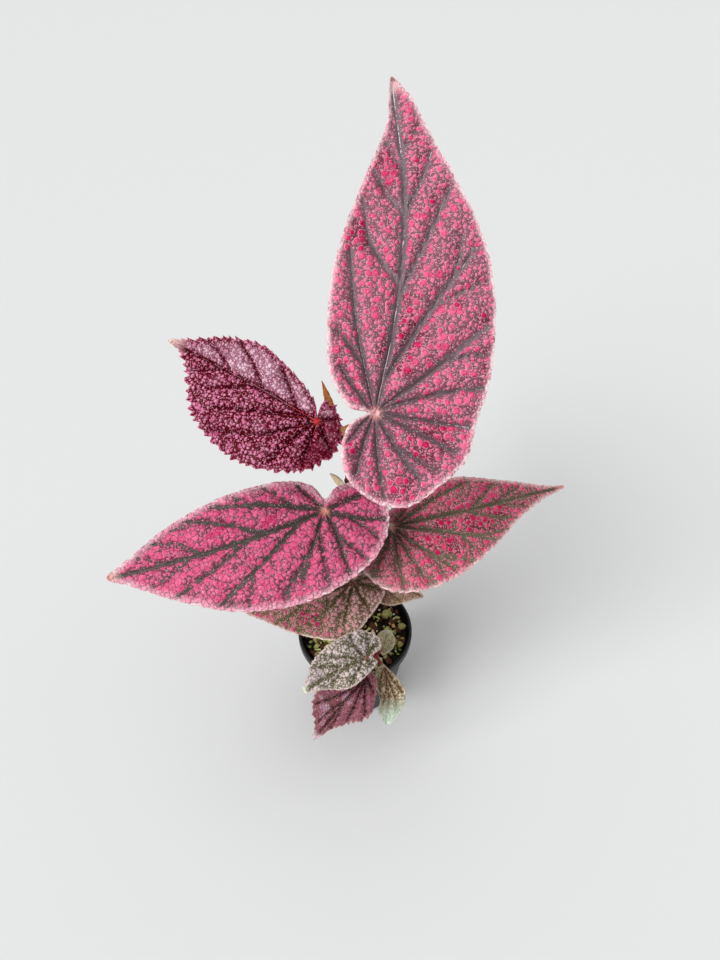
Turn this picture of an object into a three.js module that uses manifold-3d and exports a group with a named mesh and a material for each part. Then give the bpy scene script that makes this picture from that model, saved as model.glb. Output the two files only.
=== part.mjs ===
// A young rex begonia in a black nursery pot: ten leaves on petioles, a jointed cane, a basal shoot, dry
// stipules, and a pot filled with a chunky potting mix. Millimetres, +Z up, with the origin at the middle of
// the pot's base.
import * as THREE from 'three';
import { mergeVertices } from 'three/addons/utils/BufferGeometryUtils.js';
import Module from 'manifold-3d';

const wasm = await Module();
wasm.setup();

// ---------------------------------------------------------------- driving dimensions

const GAP = 0.3; // clearance between neighbouring pieces
const SEED = 20831;

const POT = {
  height: 70, // base to rim
  baseRadius: 29,
  bodyRadius: 37.4, // just under the rim band
  rimRadius: 40,
  rimBand: 8, // height of the rim band
  wall: 1.2,
  floor: 2,
  drainHoles: 8,
  drainRadius: 3,
  drainCircle: 20,
  sides: 44,
};

const MIX = {
  level: 64, // mean height of the surface above the pot's base
  rings: 5,
  sides: 28,
  bump: 0.9, // half height of the hummocks
  chips: 36,
  chipRadius: [1.4, 3.1],
  chipCircle: 33, // the chips' middles lie inside this radius
};

const BLADE = { thickness: 0.8, margin: 0.88 };
const BRACT = { thickness: 0.7, rows: 6, columns: 4 };
const PETIOLE_SIDES = 7;

// The cane zigzags from node to node: where each node sits, and how thick the stem is there.
const CANE = {
  path: [[3, 3, 32], [3, 2, 66], [4, 1, 98], [2, 0, 114], [4, 2, 148], [1, 2, 172], [-2, 4, 212],
    [-2, 9, 230], [-8, 12, 243], [-9, 14, 249]],
  radius: [3.8, 3.9, 3.6, 3.5, 3.2, 3.0, 2.7, 2.6, 2.5, 1.2],
  nodeHeights: [98, 114, 148, 172, 212, 230, 243],
  nodeSwell: 0.7,
  sides: 10,
};

const SHOOT = {
  path: [[14, -17, 40], [14, -18, 66], [15, -21, 74], [14, -25, 82], [12, -30, 90], [11, -32, 94]],
  radius: [2.4, 2.5, 2.5, 2.3, 2.0, 1.0],
  nodeHeights: [73, 79, 85, 90],
  nodeSwell: 0.4,
  sides: 8,
};

// One row for each leaf. attach is the point where the petiole meets the blade, tip is the leaf's point and
// face is the way that the upper side looks. outline goes once round the edge from the tip, in millimetres
// from the attach point: x towards the tip, y to the left of the midrib. rings and steps are how often the
// blade is divided from the attach point to the edge and along each stretch of the outline, and veins
// numbers the outline points that a main vein runs to.
// arch lowers the tip, fold raises the two halves from the midrib, roll turns the edges down, and puff is how
// far the blade swells between its veins. teeth is the height of the teeth on the edge.
// stem and from say where the petiole starts, away is the way that it leaves, and radius is the petiole's
// thickness at its two ends.
const LEAVES = {
  tall: {
    attach: [11, -19, 281], tip: [19, 103, 393], face: [0.02, -0.68, 0.74],
    outline: [[173.5, -0.5], [148.7, 0.7], [117.5, 10.5], [89, 19.4], [61, 24.6], [36, 25], [17.7, 22.8],
      [2, 12.8], [0, 4], [-5.3, 11.8], [-18, 15.6], [-33, 11.4], [-43, -3], [-44, -17], [-35, -30],
      [-19.5, -44.1], [-4, -47.4], [15.2, -52.7], [45, -55.2], [81.7, -50.2], [111.8, -36.7],
      [140.5, -21.3], [165, -8.3]],
    rings: 5, steps: 3, veins: [0, 3, 5, 7, 11, 13, 15, 17, 19, 21],
    arch: 14, fold: 0.2, roll: 3.2, puff: 2.2, teeth: 0.5,
    stem: 'cane', from: [-2, 9, 230], away: [0.5, -0.2, 0.85], radius: [2.0, 1.6], colour: 0xb0476f,
  },
  upper: {
    attach: [-19, 1, 259], tip: [-99, 40, 283], face: [-0.1, -0.65, 0.75],
    outline: [[95.5, 0], [81, -7.8], [64.6, -16.2], [46, -21.3], [31, -18.7], [15, -13.4], [5, -8],
      [1, -3], [1.2, -10.8], [-7, -10], [-13, -3], [-17.5, 6], [-11, 22], [-0.7, 30.4], [26, 38],
      [49, 33.4], [62, 27], [71.5, 15.7], [79, 7.5], [87.6, 1.8]],
    rings: 5, steps: 4, veins: [0, 2, 4, 6, 10, 12, 13, 14, 16],
    arch: 9, fold: 0.28, roll: 2.0, puff: 1.6, teeth: 1.7,
    stem: 'cane', from: [-8, 12, 243], away: [-0.3, -0.3, 0.9], radius: [1.8, 1.5], colour: 0x6b1f3d,
  },
  left: {
    attach: [-16, -15, 207], tip: [-135, -46, 185], face: [-0.04, -0.48, 0.88],
    outline: [[128, -4], [114, -10], [80, -21.6], [46, -26], [13.2, -22.2], [2, -15.2], [-2.6, -6.6],
      [-10, -11], [-24, -9], [-33, 3], [-32, 17], [-21, 32], [1, 42], [27, 45], [59, 39], [87.2, 24.4],
      [117.3, 3.6]],
    rings: 5, steps: 3, veins: [0, 2, 3, 4, 8, 10, 11, 12, 13, 14, 15],
    arch: 12, fold: 0.2, roll: 2.6, puff: 2.0, teeth: 0.5,
    stem: 'cane', from: [1, 2, 172], away: [-0.5, -0.3, 0.8], radius: [2.1, 1.6], colour: 0xb84a76,
  },
  right: {
    attach: [22, -8, 186], tip: [127, 20, 191], face: [0.07, -0.43, 0.9],
    outline: [[114, 3], [98.2, 6.5], [73.3, 13.7], [48.1, 20.5], [26, 20.5], [9, 16], [-1, 9], [-10, 10],
      [-21, 0], [-25, -16], [-15, -34], [-1, -40], [27, -38], [58.8, -23.6], [78, -11], [98, -2.2]],
    rings: 5, steps: 3, veins: [0, 2, 3, 4, 8, 9, 10, 11, 12, 13, 14],
    arch: 12, fold: 0.22, roll: 2.2, puff: 1.8, teeth: 0.6,
    stem: 'cane', from: [4, 2, 148], away: [0.6, -0.2, 0.75], radius: [2.1, 1.6], colour: 0x8d4a63,
  },
  low: {
    attach: [-1, -14, 140], tip: [-67, -27, 128], face: [-0.07, -0.5, 0.86],
    outline: [[70, -1], [56, -5], [38, -9], [20, -11], [6, -9], [1, -4], [-7, -5], [-16, 2], [-18, 10],
      [-6, 22], [12, 32], [41, 21], [59, 8]],
    rings: 5, steps: 3, veins: [0, 2, 3, 7, 8, 9, 10, 11],
    arch: 7, fold: 0.2, roll: 1.6, puff: 1.4, teeth: 0.4,
    stem: 'cane', from: [2, 0, 114], away: [-0.2, -0.6, 0.75], radius: [1.8, 1.4], colour: 0x7c5a5f,
  },
  behind: {
    attach: [20, -7, 128], tip: [45, -7, 116], face: [0.38, -0.42, 0.82],
    outline: [[29, 1], [19, 5], [6, 7], [0, 2], [-5, 3], [-8, -3], [-6, -10], [4, -12], [15, -7], [22, -3]],
    rings: 4, steps: 3, veins: [0, 2, 5, 7, 8],
    arch: 3, fold: 0.2, roll: 0.6, puff: 0.8, teeth: 0.2,
    stem: 'cane', from: [4, 1, 98], away: [0.5, -0.3, 0.8], radius: [1.4, 1.1], colour: 0x7c5a5f,
  },
  silver: {
    attach: [7, -56.5, 123.5], tip: [-29, -74.5, 117], face: [0.05, -0.43, 0.9],
    outline: [[42, 0], [35, -7], [29, -13], [14, -17], [0, -17], [-7, -14], [-12, -7], [-11, -1], [-4, 1],
      [-5, 5], [7, 10], [17, 11], [30, 5]],
    rings: 5, steps: 3, veins: [0, 2, 3, 4, 6, 9, 10, 11],
    arch: 5, fold: 0.3, roll: 0.8, puff: 1.6, teeth: 0.5,
    stem: 'basal_shoot', from: [14.5, -23.5, 79], away: [-0.7, -0.2, 0.7], radius: [1.5, 1.1],
    colour: 0xa9a59b,
  },
  burgundy: {
    attach: [7, -54, 97], tip: [-25, -81, 70], face: [-0.01, -0.7, 0.71],
    outline: [[52, 1], [45, -4], [32, -16], [20, -18], [6, -12], [0, -4], [-4, -2], [-5, 3], [3, 11],
      [17, 17], [28, 11], [39, 5]],
    rings: 5, steps: 4, veins: [0, 2, 3, 4, 8, 9, 10],
    arch: 5, fold: 0.3, roll: 1.0, puff: 1.5, teeth: 1.3,
    stem: 'basal_shoot', from: [12, -30, 90], away: [-0.3, -0.5, 0.8], radius: [1.4, 1.1], colour: 0x6e3550,
  },
  mint: {
    attach: [19, -45, 92], tip: [21, -68, 63], face: [0.25, -0.75, 0.62],
    outline: [[39, 1], [32, 9], [18, 13], [7, 8], [0, 2], [-3, -1], [1, -6], [8, -7], [20, -4], [29, -5]],
    rings: 4, steps: 3, veins: [0, 1, 2, 3, 6, 7, 8],
    arch: 3, fold: 0.3, roll: 0.6, puff: 1.1, teeth: 0.7,
    stem: 'basal_shoot', from: [13, -27, 85], away: [0.1, -1, 0.2], radius: [1.3, 1.0], colour: 0x93a890,
  },
  round: {
    attach: [18, -29, 86], tip: [24, -15, 89], face: [0.16, -0.28, 0.95],
    outline: [[16, 1], [12, 6], [5, 7], [0, 2], [-2, -1], [1, -4], [6, -6], [13, -4]],
    rings: 3, steps: 3, veins: [0, 1, 2, 5, 6],
    arch: 1.5, fold: 0.2, roll: 0.3, puff: 0.5, teeth: 0.2,
    stem: 'basal_shoot', from: [15, -21, 73], away: [0.8, -0.1, 0.6], radius: [1.1, 0.9], colour: 0x9fb09a,
  },
};

// Dry bracts at the nodes: base and tip points, the width at the middle, how deeply they are cupped, the way
// that their hollow side looks, how far the keel is sunk below the line from base to tip (a share of the cup),
// and the stem that holds each.
const STIPULES = {
  stipule_spike: {
    base: [-10, 15, 244], tip: [-17, 28, 265], width: 5, cup: 1.4,
    hollow: [0, 1, 0], sink: 0, stem: 'cane',
  },
  stipule_tan: {
    base: [-5, 9, 241.5], tip: [-2.6, 7.3, 252], width: 6.4, cup: 1.2,
    hollow: [0, 1, 0], sink: 0, stem: 'cane',
  },
  stipule_pair_a: {
    base: [-5.6, 2.7, 208.6], tip: [-11.9, 5, 218.5], width: 9.5, cup: 3.6,
    hollow: [1, 0.3, 0], sink: 0.6, stem: 'cane',
  },
  stipule_pair_b: {
    base: [0.4, 1.8, 214.5], tip: [4.5, -1.5, 225], width: 5, cup: 1.3,
    hollow: [0, 1, 0], sink: 0, stem: 'cane',
  },
  stipule_base_a: {
    base: [17.5, -20, 75], tip: [23, -20, 83], width: 4, cup: 1,
    hollow: [0, 1, 0], sink: 0, stem: 'basal_shoot',
  },
  stipule_base_b: {
    base: [13, -21.5, 82], tip: [12, -14, 90], width: 4, cup: 1,
    hollow: [0, 1, 0], sink: 0, stem: 'basal_shoot',
  },
};

// Larger loose pieces on the mix: where each lies and its half sizes.
const STONES = {
  pumice_1: { at: [24, -6], half: [4.2, 3.4, 3.0], turn: 0.4 },
  pumice_2: { at: [22, 14], half: [3.6, 3.0, 2.6], turn: 1.3 },
  pumice_3: { at: [-22, 10], half: [4.0, 3.2, 2.8], turn: 2.2 },
  pumice_4: { at: [-14, -22], half: [3.8, 3.6, 2.7], turn: 0.9 },
  bark_1: { at: [0, -24], half: [8.5, 4.0, 2.2], turn: 0.3 },
  bark_2: { at: [-6, 24], half: [7.5, 3.6, 2.1], turn: 2.6 },
};

// ---------------------------------------------------------------- helpers

const vec = ([x, y, z]) => new THREE.Vector3(x, y, z);
const smooth = (low, high, value) => THREE.MathUtils.smoothstep(value, low, high);

// A repeatable random number between two values.
let randomState = SEED;
function draw(low, high) {
  randomState = (randomState * 1664525 + 1013904223) % 4294967296;
  return low + ((high - low) * randomState) / 4294967296;
}

function closedGeometry(positions, index) {
  const geometry = new THREE.BufferGeometry();
  geometry.setAttribute('position', new THREE.Float32BufferAttribute(positions, 3));
  geometry.setIndex(index);
  return geometry;
}

function toSolid(geometry) {
  const bare = geometry.clone();
  bare.deleteAttribute('normal');
  bare.deleteAttribute('uv');
  const merged = mergeVertices(bare, 1e-4);
  return new wasm.Manifold(new wasm.Mesh({
    numProp: 3,
    vertProperties: new Float32Array(merged.attributes.position.array),
    triVerts: new Uint32Array(merged.index.array),
  }));
}

function toGeometry(solid) {
  const { vertProperties, triVerts } = solid.getMesh();
  return closedGeometry(vertProperties, Array.from(triVerts));
}

// Triangles of a closed strip between ring a and ring b of the same size, each given by its first vertex.
function strip(index, ringA, ringB, size) {
  for (let i = 0; i < size; i += 1) {
    const next = (i + 1) % size;
    index.push(ringA + i, ringA + next, ringB + next, ringA + i, ringB + next, ringB + i);
  }
}

// A round bar along a curve. radiusAt gives its radius at each fraction of the curve's length.
function barGeometry(curve, radiusAt, steps, sides) {
  const frames = curve.computeFrenetFrames(steps, false);
  const positions = [];
  for (let s = 0; s <= steps; s += 1) {
    const centre = curve.getPointAt(s / steps);
    const radius = radiusAt(s / steps);
    for (let i = 0; i < sides; i += 1) {
      const angle = (2 * Math.PI * i) / sides;
      const point = centre.clone()
        .addScaledVector(frames.normals[s], Math.cos(angle) * radius)
        .addScaledVector(frames.binormals[s], Math.sin(angle) * radius);
      positions.push(point.x, point.y, point.z);
    }
  }
  const index = [];
  for (let s = 0; s < steps; s += 1) strip(index, s * sides, (s + 1) * sides, sides);
  const ends = [[curve.getPointAt(0), 0, true], [curve.getPointAt(1), steps * sides, false]];
  for (const [centre, ring, isStart] of ends) {
    const middle = positions.length / 3;
    positions.push(centre.x, centre.y, centre.z);
    for (let i = 0; i < sides; i += 1) {
      const next = ring + ((i + 1) % sides);
      index.push(middle, isStart ? next : ring + i, isStart ? ring + i : next);
    }
  }
  return closedGeometry(positions, index);
}

// ---------------------------------------------------------------- stems

// The stem's thickness runs smoothly through the given radii, with a swelling at each node.
function stemGeometry(stem, grow = 0) {
  const curve = new THREE.CatmullRomCurve3(stem.path.map(vec), false, 'centripetal');
  const steps = 3 * (stem.path.length - 1);
  const radiusAt = (u) => {
    const place = u * (stem.radius.length - 1);
    const low = Math.min(Math.floor(place), stem.radius.length - 2);
    const radius = THREE.MathUtils.lerp(stem.radius[low], stem.radius[low + 1], place - low);
    const height = curve.getPointAt(u).z;
    const nearest = Math.min(...stem.nodeHeights.map((node) => Math.abs(node - height)));
    return radius + stem.nodeSwell * (1 - smooth(1, 6, nearest)) + grow;
  };
  return barGeometry(curve, radiusAt, steps, stem.sides);
}

const stemSolid = {};
const stemClearance = {};
for (const [name, stem] of [['cane', CANE], ['basal_shoot', SHOOT]]) {
  stemSolid[name] = toSolid(stemGeometry(stem));
  stemClearance[name] = toSolid(stemGeometry(stem, GAP));
}

// ---------------------------------------------------------------- leaves

// The leaf's own frame: x from the attach point to the tip, z out of the upper side.
function leafFrame(leaf) {
  const origin = vec(leaf.attach);
  const along = vec(leaf.tip).sub(origin).normalize();
  const up = vec(leaf.face);
  up.addScaledVector(along, -up.dot(along)).normalize();
  const across = new THREE.Vector3().crossVectors(up, along);
  return new THREE.Matrix4().makeBasis(along, across, up).setPosition(origin);
}

// Height of the blade's middle surface. ring goes from 0 at the attach point to 1 at the edge, and swell from
// 0 on a vein to 1 midway to the next. The blade arches to its tip, folds up along the midrib, rolls down at
// its edges and swells between its veins, which lie in valleys.
function bladeHeight(leaf, x, y, ring, swell) {
  const [length] = leaf.outline[0];
  const width = Math.max(...leaf.outline.map((point) => Math.abs(point[1])));
  const arch = -leaf.arch * Math.sign(x) * (x / length) ** 2;
  const fold = leaf.fold * (Math.hypot(y, 5) - 5);
  const roll = -leaf.roll * 2 * (y / width) ** 2;
  return arch + fold + roll + leaf.puff * (swell - 0.35) * ring ** 1.5;
}

function bladeGeometry(leaf) {
  const count = leaf.outline.length;
  const columns = count * leaf.steps;
  const edge = new THREE.CatmullRomCurve3(
    leaf.outline.map(([x, y]) => new THREE.Vector3(x, y, 0)), true, 'centripetal');
  const veinColumns = leaf.veins.map((vein) => vein * leaf.steps);
  const rings = leaf.rings;
  const layers = [[], []];
  for (const [layer, side] of [[layers[0], 0.5], [layers[1], -0.5]]) {
    const offset = side * BLADE.thickness;
    layer.push([0, 0, offset]);
    for (let r = 1; r <= rings; r += 1) {
      const ring = r === rings ? 1 : (r / (rings - 1)) ** 0.8 * BLADE.margin;
      for (let c = 0; c < columns; c += 1) {
        const point = edge.getPoint(c / columns);
        const reach = Math.hypot(point.x, point.y);
        const tooth = r === rings ? leaf.teeth * (c % 2 === 0 ? 1 : -1) * smooth(4, 14, reach) : 0;
        const scale = ring * (1 + tooth / reach);
        const after = Math.max(...veinColumns.filter((vein) => vein <= c));
        const before = Math.min(...veinColumns.filter((vein) => vein > c), columns);
        const swell = Math.sin((Math.PI * (c - after)) / (before - after));
        const x = point.x * scale;
        const y = point.y * scale;
        layer.push([x, y, bladeHeight(leaf, x, y, ring, swell) + offset]);
      }
    }
  }
  const positions = [...layers[0], ...layers[1]].flat();
  const under = layers[0].length;
  const face = [];
  for (let c = 0; c < columns; c += 1) face.push(0, 1 + c, 1 + ((c + 1) % columns));
  for (let r = 0; r < rings - 1; r += 1) strip(face, 1 + (r + 1) * columns, 1 + r * columns, columns);
  const index = [...face];
  for (let i = 0; i < face.length; i += 3) {
    index.push(under + face[i], under + face[i + 2], under + face[i + 1]);
  }
  strip(index, under + 1 + (rings - 1) * columns, 1 + (rings - 1) * columns, columns);
  const isClockwise = THREE.ShapeUtils.isClockWise(leaf.outline.map(([x, y]) => new THREE.Vector2(x, y)));
  return closedGeometry(positions, isClockwise ? index.reverse() : index);
}

// The petiole leaves its node, bends up and meets the underside of the blade square on.
function petioleGeometry(leaf) {
  const frame = leafFrame(leaf);
  const up = new THREE.Vector3().setFromMatrixColumn(frame, 2);
  const start = vec(leaf.from);
  const end = vec(leaf.attach).addScaledVector(up, -BLADE.thickness / 2 - GAP);
  const reach = start.distanceTo(end);
  const curve = new THREE.CubicBezierCurve3(
    start, start.clone().addScaledVector(vec(leaf.away).normalize(), reach * 0.4),
    end.clone().addScaledVector(up, -reach * 0.35), end);
  const [thick, thin] = leaf.radius;
  const radiusAt = (u) => THREE.MathUtils.lerp(thick, thin, Math.min(1, u * 1.5));
  const steps = reach > 30 ? 9 : 6;
  const bar = toSolid(barGeometry(curve, radiusAt, steps, PETIOLE_SIDES));
  return toGeometry(bar.subtract(stemClearance[leaf.stem]));
}

// A dry bract: a boat-shaped blade, widest below its middle, closing to a point, its sides cupped.
function stipuleGeometry(bract) {
  const base = vec(bract.base);
  const along = vec(bract.tip).sub(base);
  const length = along.length();
  along.normalize();
  const across = new THREE.Vector3().crossVectors(along, vec(bract.hollow)).normalize();
  const out = new THREE.Vector3().crossVectors(across, along);
  const { rows, columns, thickness } = BRACT;
  const positions = [];
  for (const side of [0.5, -0.5]) {
    for (let r = 0; r <= rows; r += 1) {
      const u = r / rows;
      const half = (bract.width / 2) * Math.max(0.06, Math.sin(Math.PI * (0.18 + 0.8 * u ** 0.85)));
      for (let c = 0; c <= columns; c += 1) {
        const v = (2 * c) / columns - 1;
        const bowl = (v * v - bract.sink) * (half / bract.width) * 2;
        const lift = bract.cup * (bowl - 0.5 * u * u) + side * thickness;
        const point = base.clone().addScaledVector(along, u * length)
          .addScaledVector(across, v * half).addScaledVector(out, lift);
        positions.push(point.x, point.y, point.z);
      }
    }
  }
  const width = columns + 1;
  const sheet = (rows + 1) * width;
  const index = [];
  const quad = (a, b, c, d) => index.push(a, b, c, a, c, d);
  for (let r = 0; r < rows; r += 1) {
    for (let c = 0; c < columns; c += 1) {
      const a = r * width + c;
      quad(a, a + 1, a + width + 1, a + width);
      index.push(sheet + a, sheet + a + width + 1, sheet + a + 1);
      index.push(sheet + a, sheet + a + width, sheet + a + width + 1);
    }
    const left = r * width;
    const right = left + columns;
    quad(left, left + width, sheet + left + width, sheet + left);
    quad(right + width, right, sheet + right, sheet + right + width);
  }
  for (let c = 0; c < columns; c += 1) {
    const top = rows * width + c;
    quad(c + 1, c, sheet + c, sheet + c + 1);
    quad(top, top + 1, sheet + top + 1, sheet + top);
  }
  const solid = toSolid(closedGeometry(positions, index));
  return toGeometry(solid.subtract(stemClearance[bract.stem]));
}

// ---------------------------------------------------------------- pot and mix

const potTaper = (POT.bodyRadius - POT.baseRadius) / (POT.height - POT.rimBand);
const innerRadius = (z) => POT.baseRadius + potTaper * z - POT.wall;

function potGeometry() {
  const band = POT.height - POT.rimBand;
  const rimInner = POT.rimRadius - POT.wall;
  const profile = [
    [0, 0], [POT.baseRadius - 1, 0], [POT.baseRadius, 1],
    [POT.bodyRadius, band], [POT.rimRadius - 0.7, band + 0.4], [POT.rimRadius, band + 1.6],
    [POT.rimRadius, POT.height - 0.8], [POT.rimRadius - 0.6, POT.height],
    [rimInner - 0.4, POT.height], [rimInner - 0.8, POT.height - 1],
    [innerRadius(band), band - 0.6], [innerRadius(POT.floor), POT.floor], [0, POT.floor],
  ].map(([radius, z]) => new THREE.Vector2(radius, z));
  const shell = new THREE.LatheGeometry(profile, POT.sides);
  shell.rotateX(Math.PI / 2);
  let pot = toSolid(shell);
  for (let i = 0; i < POT.drainHoles; i += 1) {
    const angle = (2 * Math.PI * i) / POT.drainHoles;
    const hole = new THREE.CylinderGeometry(POT.drainRadius, POT.drainRadius, 4 * POT.floor, 10);
    hole.rotateX(Math.PI / 2);
    hole.translate(Math.cos(angle) * POT.drainCircle, Math.sin(angle) * POT.drainCircle, POT.floor / 2);
    pot = pot.subtract(toSolid(hole));
  }
  return toGeometry(pot);
}

// The mix fills the pot to within the clearance; its flat-sided rings also stay inside the wall's facets.
const mixRadius = (z) => innerRadius(z) - GAP - 0.5;

// Hummocks of the mix: three crossing waves.
function mixLevel(x, y) {
  const broad = Math.sin(x * 0.21 + y * 0.09) + Math.sin(y * 0.26 - x * 0.12 + 1.1);
  const fine = Math.sin((x + y) * 0.37);
  return MIX.level + (MIX.bump * (broad + fine)) / 1.5;
}

// An angular chip: an icosahedron stretched to its half sizes, with its corners knocked about.
function chipGeometry(half, turn, seat) {
  const chip = new THREE.IcosahedronGeometry(1, 0);
  chip.deleteAttribute('normal');
  chip.deleteAttribute('uv');
  const merged = mergeVertices(chip, 1e-4);
  const corners = merged.attributes.position;
  for (let i = 0; i < corners.count; i += 1) {
    const knock = draw(0.86, 1.12);
    corners.setXYZ(i, corners.getX(i) * knock, corners.getY(i) * knock, corners.getZ(i) * knock);
  }
  merged.scale(...half);
  merged.rotateZ(turn);
  merged.translate(...seat);
  return merged;
}

function stoneSolid(stone, grow = 0) {
  const [x, y] = stone.at;
  const seat = [x, y, mixLevel(x, y) + stone.half[2] * 0.35];
  const savedState = randomState;
  randomState = SEED + Math.round(100 * stone.turn);
  const solid = toSolid(chipGeometry(stone.half.map((size) => size + grow), stone.turn, seat));
  randomState = savedState;
  return solid;
}

function mixGeometry() {
  const positions = [0, 0, mixLevel(0, 0)];
  const index = [];
  for (let r = 1; r <= MIX.rings; r += 1) {
    for (let i = 0; i < MIX.sides; i += 1) {
      const angle = (2 * Math.PI * i) / MIX.sides;
      const radius = (mixRadius(MIX.level) * r) / MIX.rings;
      const x = Math.cos(angle) * radius;
      const y = Math.sin(angle) * radius;
      positions.push(x, y, r === MIX.rings ? MIX.level - 1 : mixLevel(x, y));
    }
  }
  const bottom = POT.floor + GAP;
  const foot = positions.length / 3;
  for (let i = 0; i < MIX.sides; i += 1) {
    const angle = (2 * Math.PI * i) / MIX.sides;
    positions.push(Math.cos(angle) * mixRadius(bottom), Math.sin(angle) * mixRadius(bottom), bottom);
  }
  const middle = positions.length / 3;
  positions.push(0, 0, bottom);
  for (let i = 0; i < MIX.sides; i += 1) {
    const next = (i + 1) % MIX.sides;
    index.push(0, 1 + i, 1 + next, middle, foot + next, foot + i);
  }
  for (let r = 0; r < MIX.rings - 1; r += 1) {
    strip(index, 1 + (r + 1) * MIX.sides, 1 + r * MIX.sides, MIX.sides);
  }
  strip(index, foot, 1 + (MIX.rings - 1) * MIX.sides, MIX.sides);
  let mix = toSolid(closedGeometry(positions, index));
  for (let i = 0; i < MIX.chips; i += 1) {
    const radius = MIX.chipCircle * Math.sqrt(draw(0, 1));
    const angle = draw(0, 2 * Math.PI);
    const size = draw(...MIX.chipRadius);
    const x = Math.cos(angle) * radius;
    const y = Math.sin(angle) * radius;
    const half = [size, size * draw(0.7, 1), size * draw(0.6, 0.9)];
    mix = mix.add(toSolid(chipGeometry(half, draw(0, Math.PI), [x, y, mixLevel(x, y)])));
  }
  for (const clearance of Object.values(stemClearance)) mix = mix.subtract(clearance);
  for (const stone of Object.values(STONES)) mix = mix.subtract(stoneSolid(stone, GAP + 0.1));
  return toGeometry(mix);
}

// ---------------------------------------------------------------- the plant

const group = new THREE.Group();

function addPiece(name, geometry, colour, roughness, parent = group) {
  const material = new THREE.MeshStandardMaterial({ color: colour, roughness, metalness: 0 });
  const mesh = new THREE.Mesh(geometry, material);
  mesh.name = name;
  parent.add(mesh);
  return mesh;
}

addPiece('pot', potGeometry(), 0x17181a, 0.45);
addPiece('potting_mix', mixGeometry(), 0x2e2722, 0.95);
for (const [name, stone] of Object.entries(STONES)) {
  const isBark = name.startsWith('bark');
  addPiece(name, toGeometry(stoneSolid(stone)), isBark ? 0x4a3323 : 0xa9a184, 0.9);
}

addPiece('cane', toGeometry(stemSolid.cane), 0x5a2a24, 0.6);
addPiece('basal_shoot', toGeometry(stemSolid.basal_shoot), 0x7a3a34, 0.6);

for (const [name, leaf] of Object.entries(LEAVES)) {
  const blade = addPiece(`leaf_${name}`, bladeGeometry(leaf), leaf.colour, 0.5);
  leafFrame(leaf).decompose(blade.position, blade.quaternion, blade.scale);
  addPiece(`petiole_${name}`, petioleGeometry(leaf), 0x8a3038, 0.6);
}

for (const [name, bract] of Object.entries(STIPULES)) {
  addPiece(name, stipuleGeometry(bract), 0xcbb291, 0.75);
}

export default group;
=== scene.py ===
import math
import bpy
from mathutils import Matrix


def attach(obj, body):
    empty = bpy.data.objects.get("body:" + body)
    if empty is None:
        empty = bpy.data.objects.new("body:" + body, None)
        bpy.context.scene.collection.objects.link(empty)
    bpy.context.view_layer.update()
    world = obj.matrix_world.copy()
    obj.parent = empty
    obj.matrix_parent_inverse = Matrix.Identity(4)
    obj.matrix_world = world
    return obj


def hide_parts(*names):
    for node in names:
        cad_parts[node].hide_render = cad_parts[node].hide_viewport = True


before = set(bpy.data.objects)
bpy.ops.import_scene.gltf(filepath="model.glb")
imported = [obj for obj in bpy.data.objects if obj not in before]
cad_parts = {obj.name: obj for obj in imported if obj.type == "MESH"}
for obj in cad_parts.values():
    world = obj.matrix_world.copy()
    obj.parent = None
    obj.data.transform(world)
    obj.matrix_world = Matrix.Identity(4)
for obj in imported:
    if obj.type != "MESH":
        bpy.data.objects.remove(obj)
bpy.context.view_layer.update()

from types import SimpleNamespace

import bmesh
import bpy
import numpy as np
from mathutils import Vector

# ---------------------------------------------------------------- values

MM = 0.001
SEED = 7

# The camera stands in front of the plant and looks down at CAMERA_PITCH degrees. Its long side shows
# PHOTO_HEIGHT units at a depth of FOCAL_PIXELS of them.
CAMERA_PLACE = (3.5, -285.5, 502.5)
CAMERA_PITCH = 45.0
SENSOR = 36.0
PHOTO_HEIGHT = 960.0
FOCAL_PIXELS = 721.0

# The lights, all far away: where each comes from, its strength and its spread in degrees.
LIGHTS = {"window": ((-0.6, -0.5, 0.66), 2.7, 40), "ceiling": ((0.1, 0.25, 1.0), 1.5, 90)}
ROOM_LIGHT = 0.14
FLOOR_HALF = 6.0  # in metres
FLOOR_TONE = (217, 218, 218)

# The pot in millimetres: its height, the radii of its base, its body and its rim, and how far the rim's band
# reaches down. Then its wall and its floor, the number of drain holes, their radius and that of their circle,
# and how many sides the pot and a drain hole have.
POT_HEIGHT, POT_BASE, POT_BODY, POT_RIM, POT_BAND = 70.0, 29.0, 37.4, 40.0, 8.0
POT_WALL, POT_FLOOR = 1.2, 2.0
DRAIN_HOLES, DRAIN_RADIUS, DRAIN_CIRCLE = 8, 3.0, 20.0
POT_SIDES, DRAIN_SIDES = 128, 24

# The mix: its level, the height of its hummocks and its gap to the wall, then the grid of its top.
MIX_LEVEL, MIX_BUMP, MIX_GAP = 64.0, 0.9, 0.4
MIX_RINGS, MIX_SIDES = 70, 200

# The grains on the mix: their finish, how many, their least and greatest half size, their height as a share
# of that, the share that is sunk, and how square and how rough they are. Then the fibres and the slivers
# among them.
GRAINS = [("soil", 260, 0.7, 1.6, 0.8, 0.30, 2.6, 0.30), ("pumice", 150, 0.8, 2.0, 0.75, 0.30, 3.2, 0.32),
          ("pumice", 46, 1.7, 3.0, 0.7, 0.30, 3.4, 0.34), ("perlite", 34, 0.7, 1.3, 0.85, 0.25, 2.6, 0.3),
          ("bark", 90, 1.2, 3.4, 0.32, 0.15, 4.5, 0.28), ("moss", 110, 0.8, 1.8, 0.6, 0.35, 2.0, 0.55),
          ("grit", 36, 0.8, 2.0, 0.7, 0.25, 2.8, 0.3)]
MIX_FINISHES = ["soil", "pumice", "perlite", "bark", "moss", "grit", "sliver"]
FIBRES, FIBRE_RADIUS = 46, 0.13
SLIVERS, SLIVER_RADIUS = 26, 0.55

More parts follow.
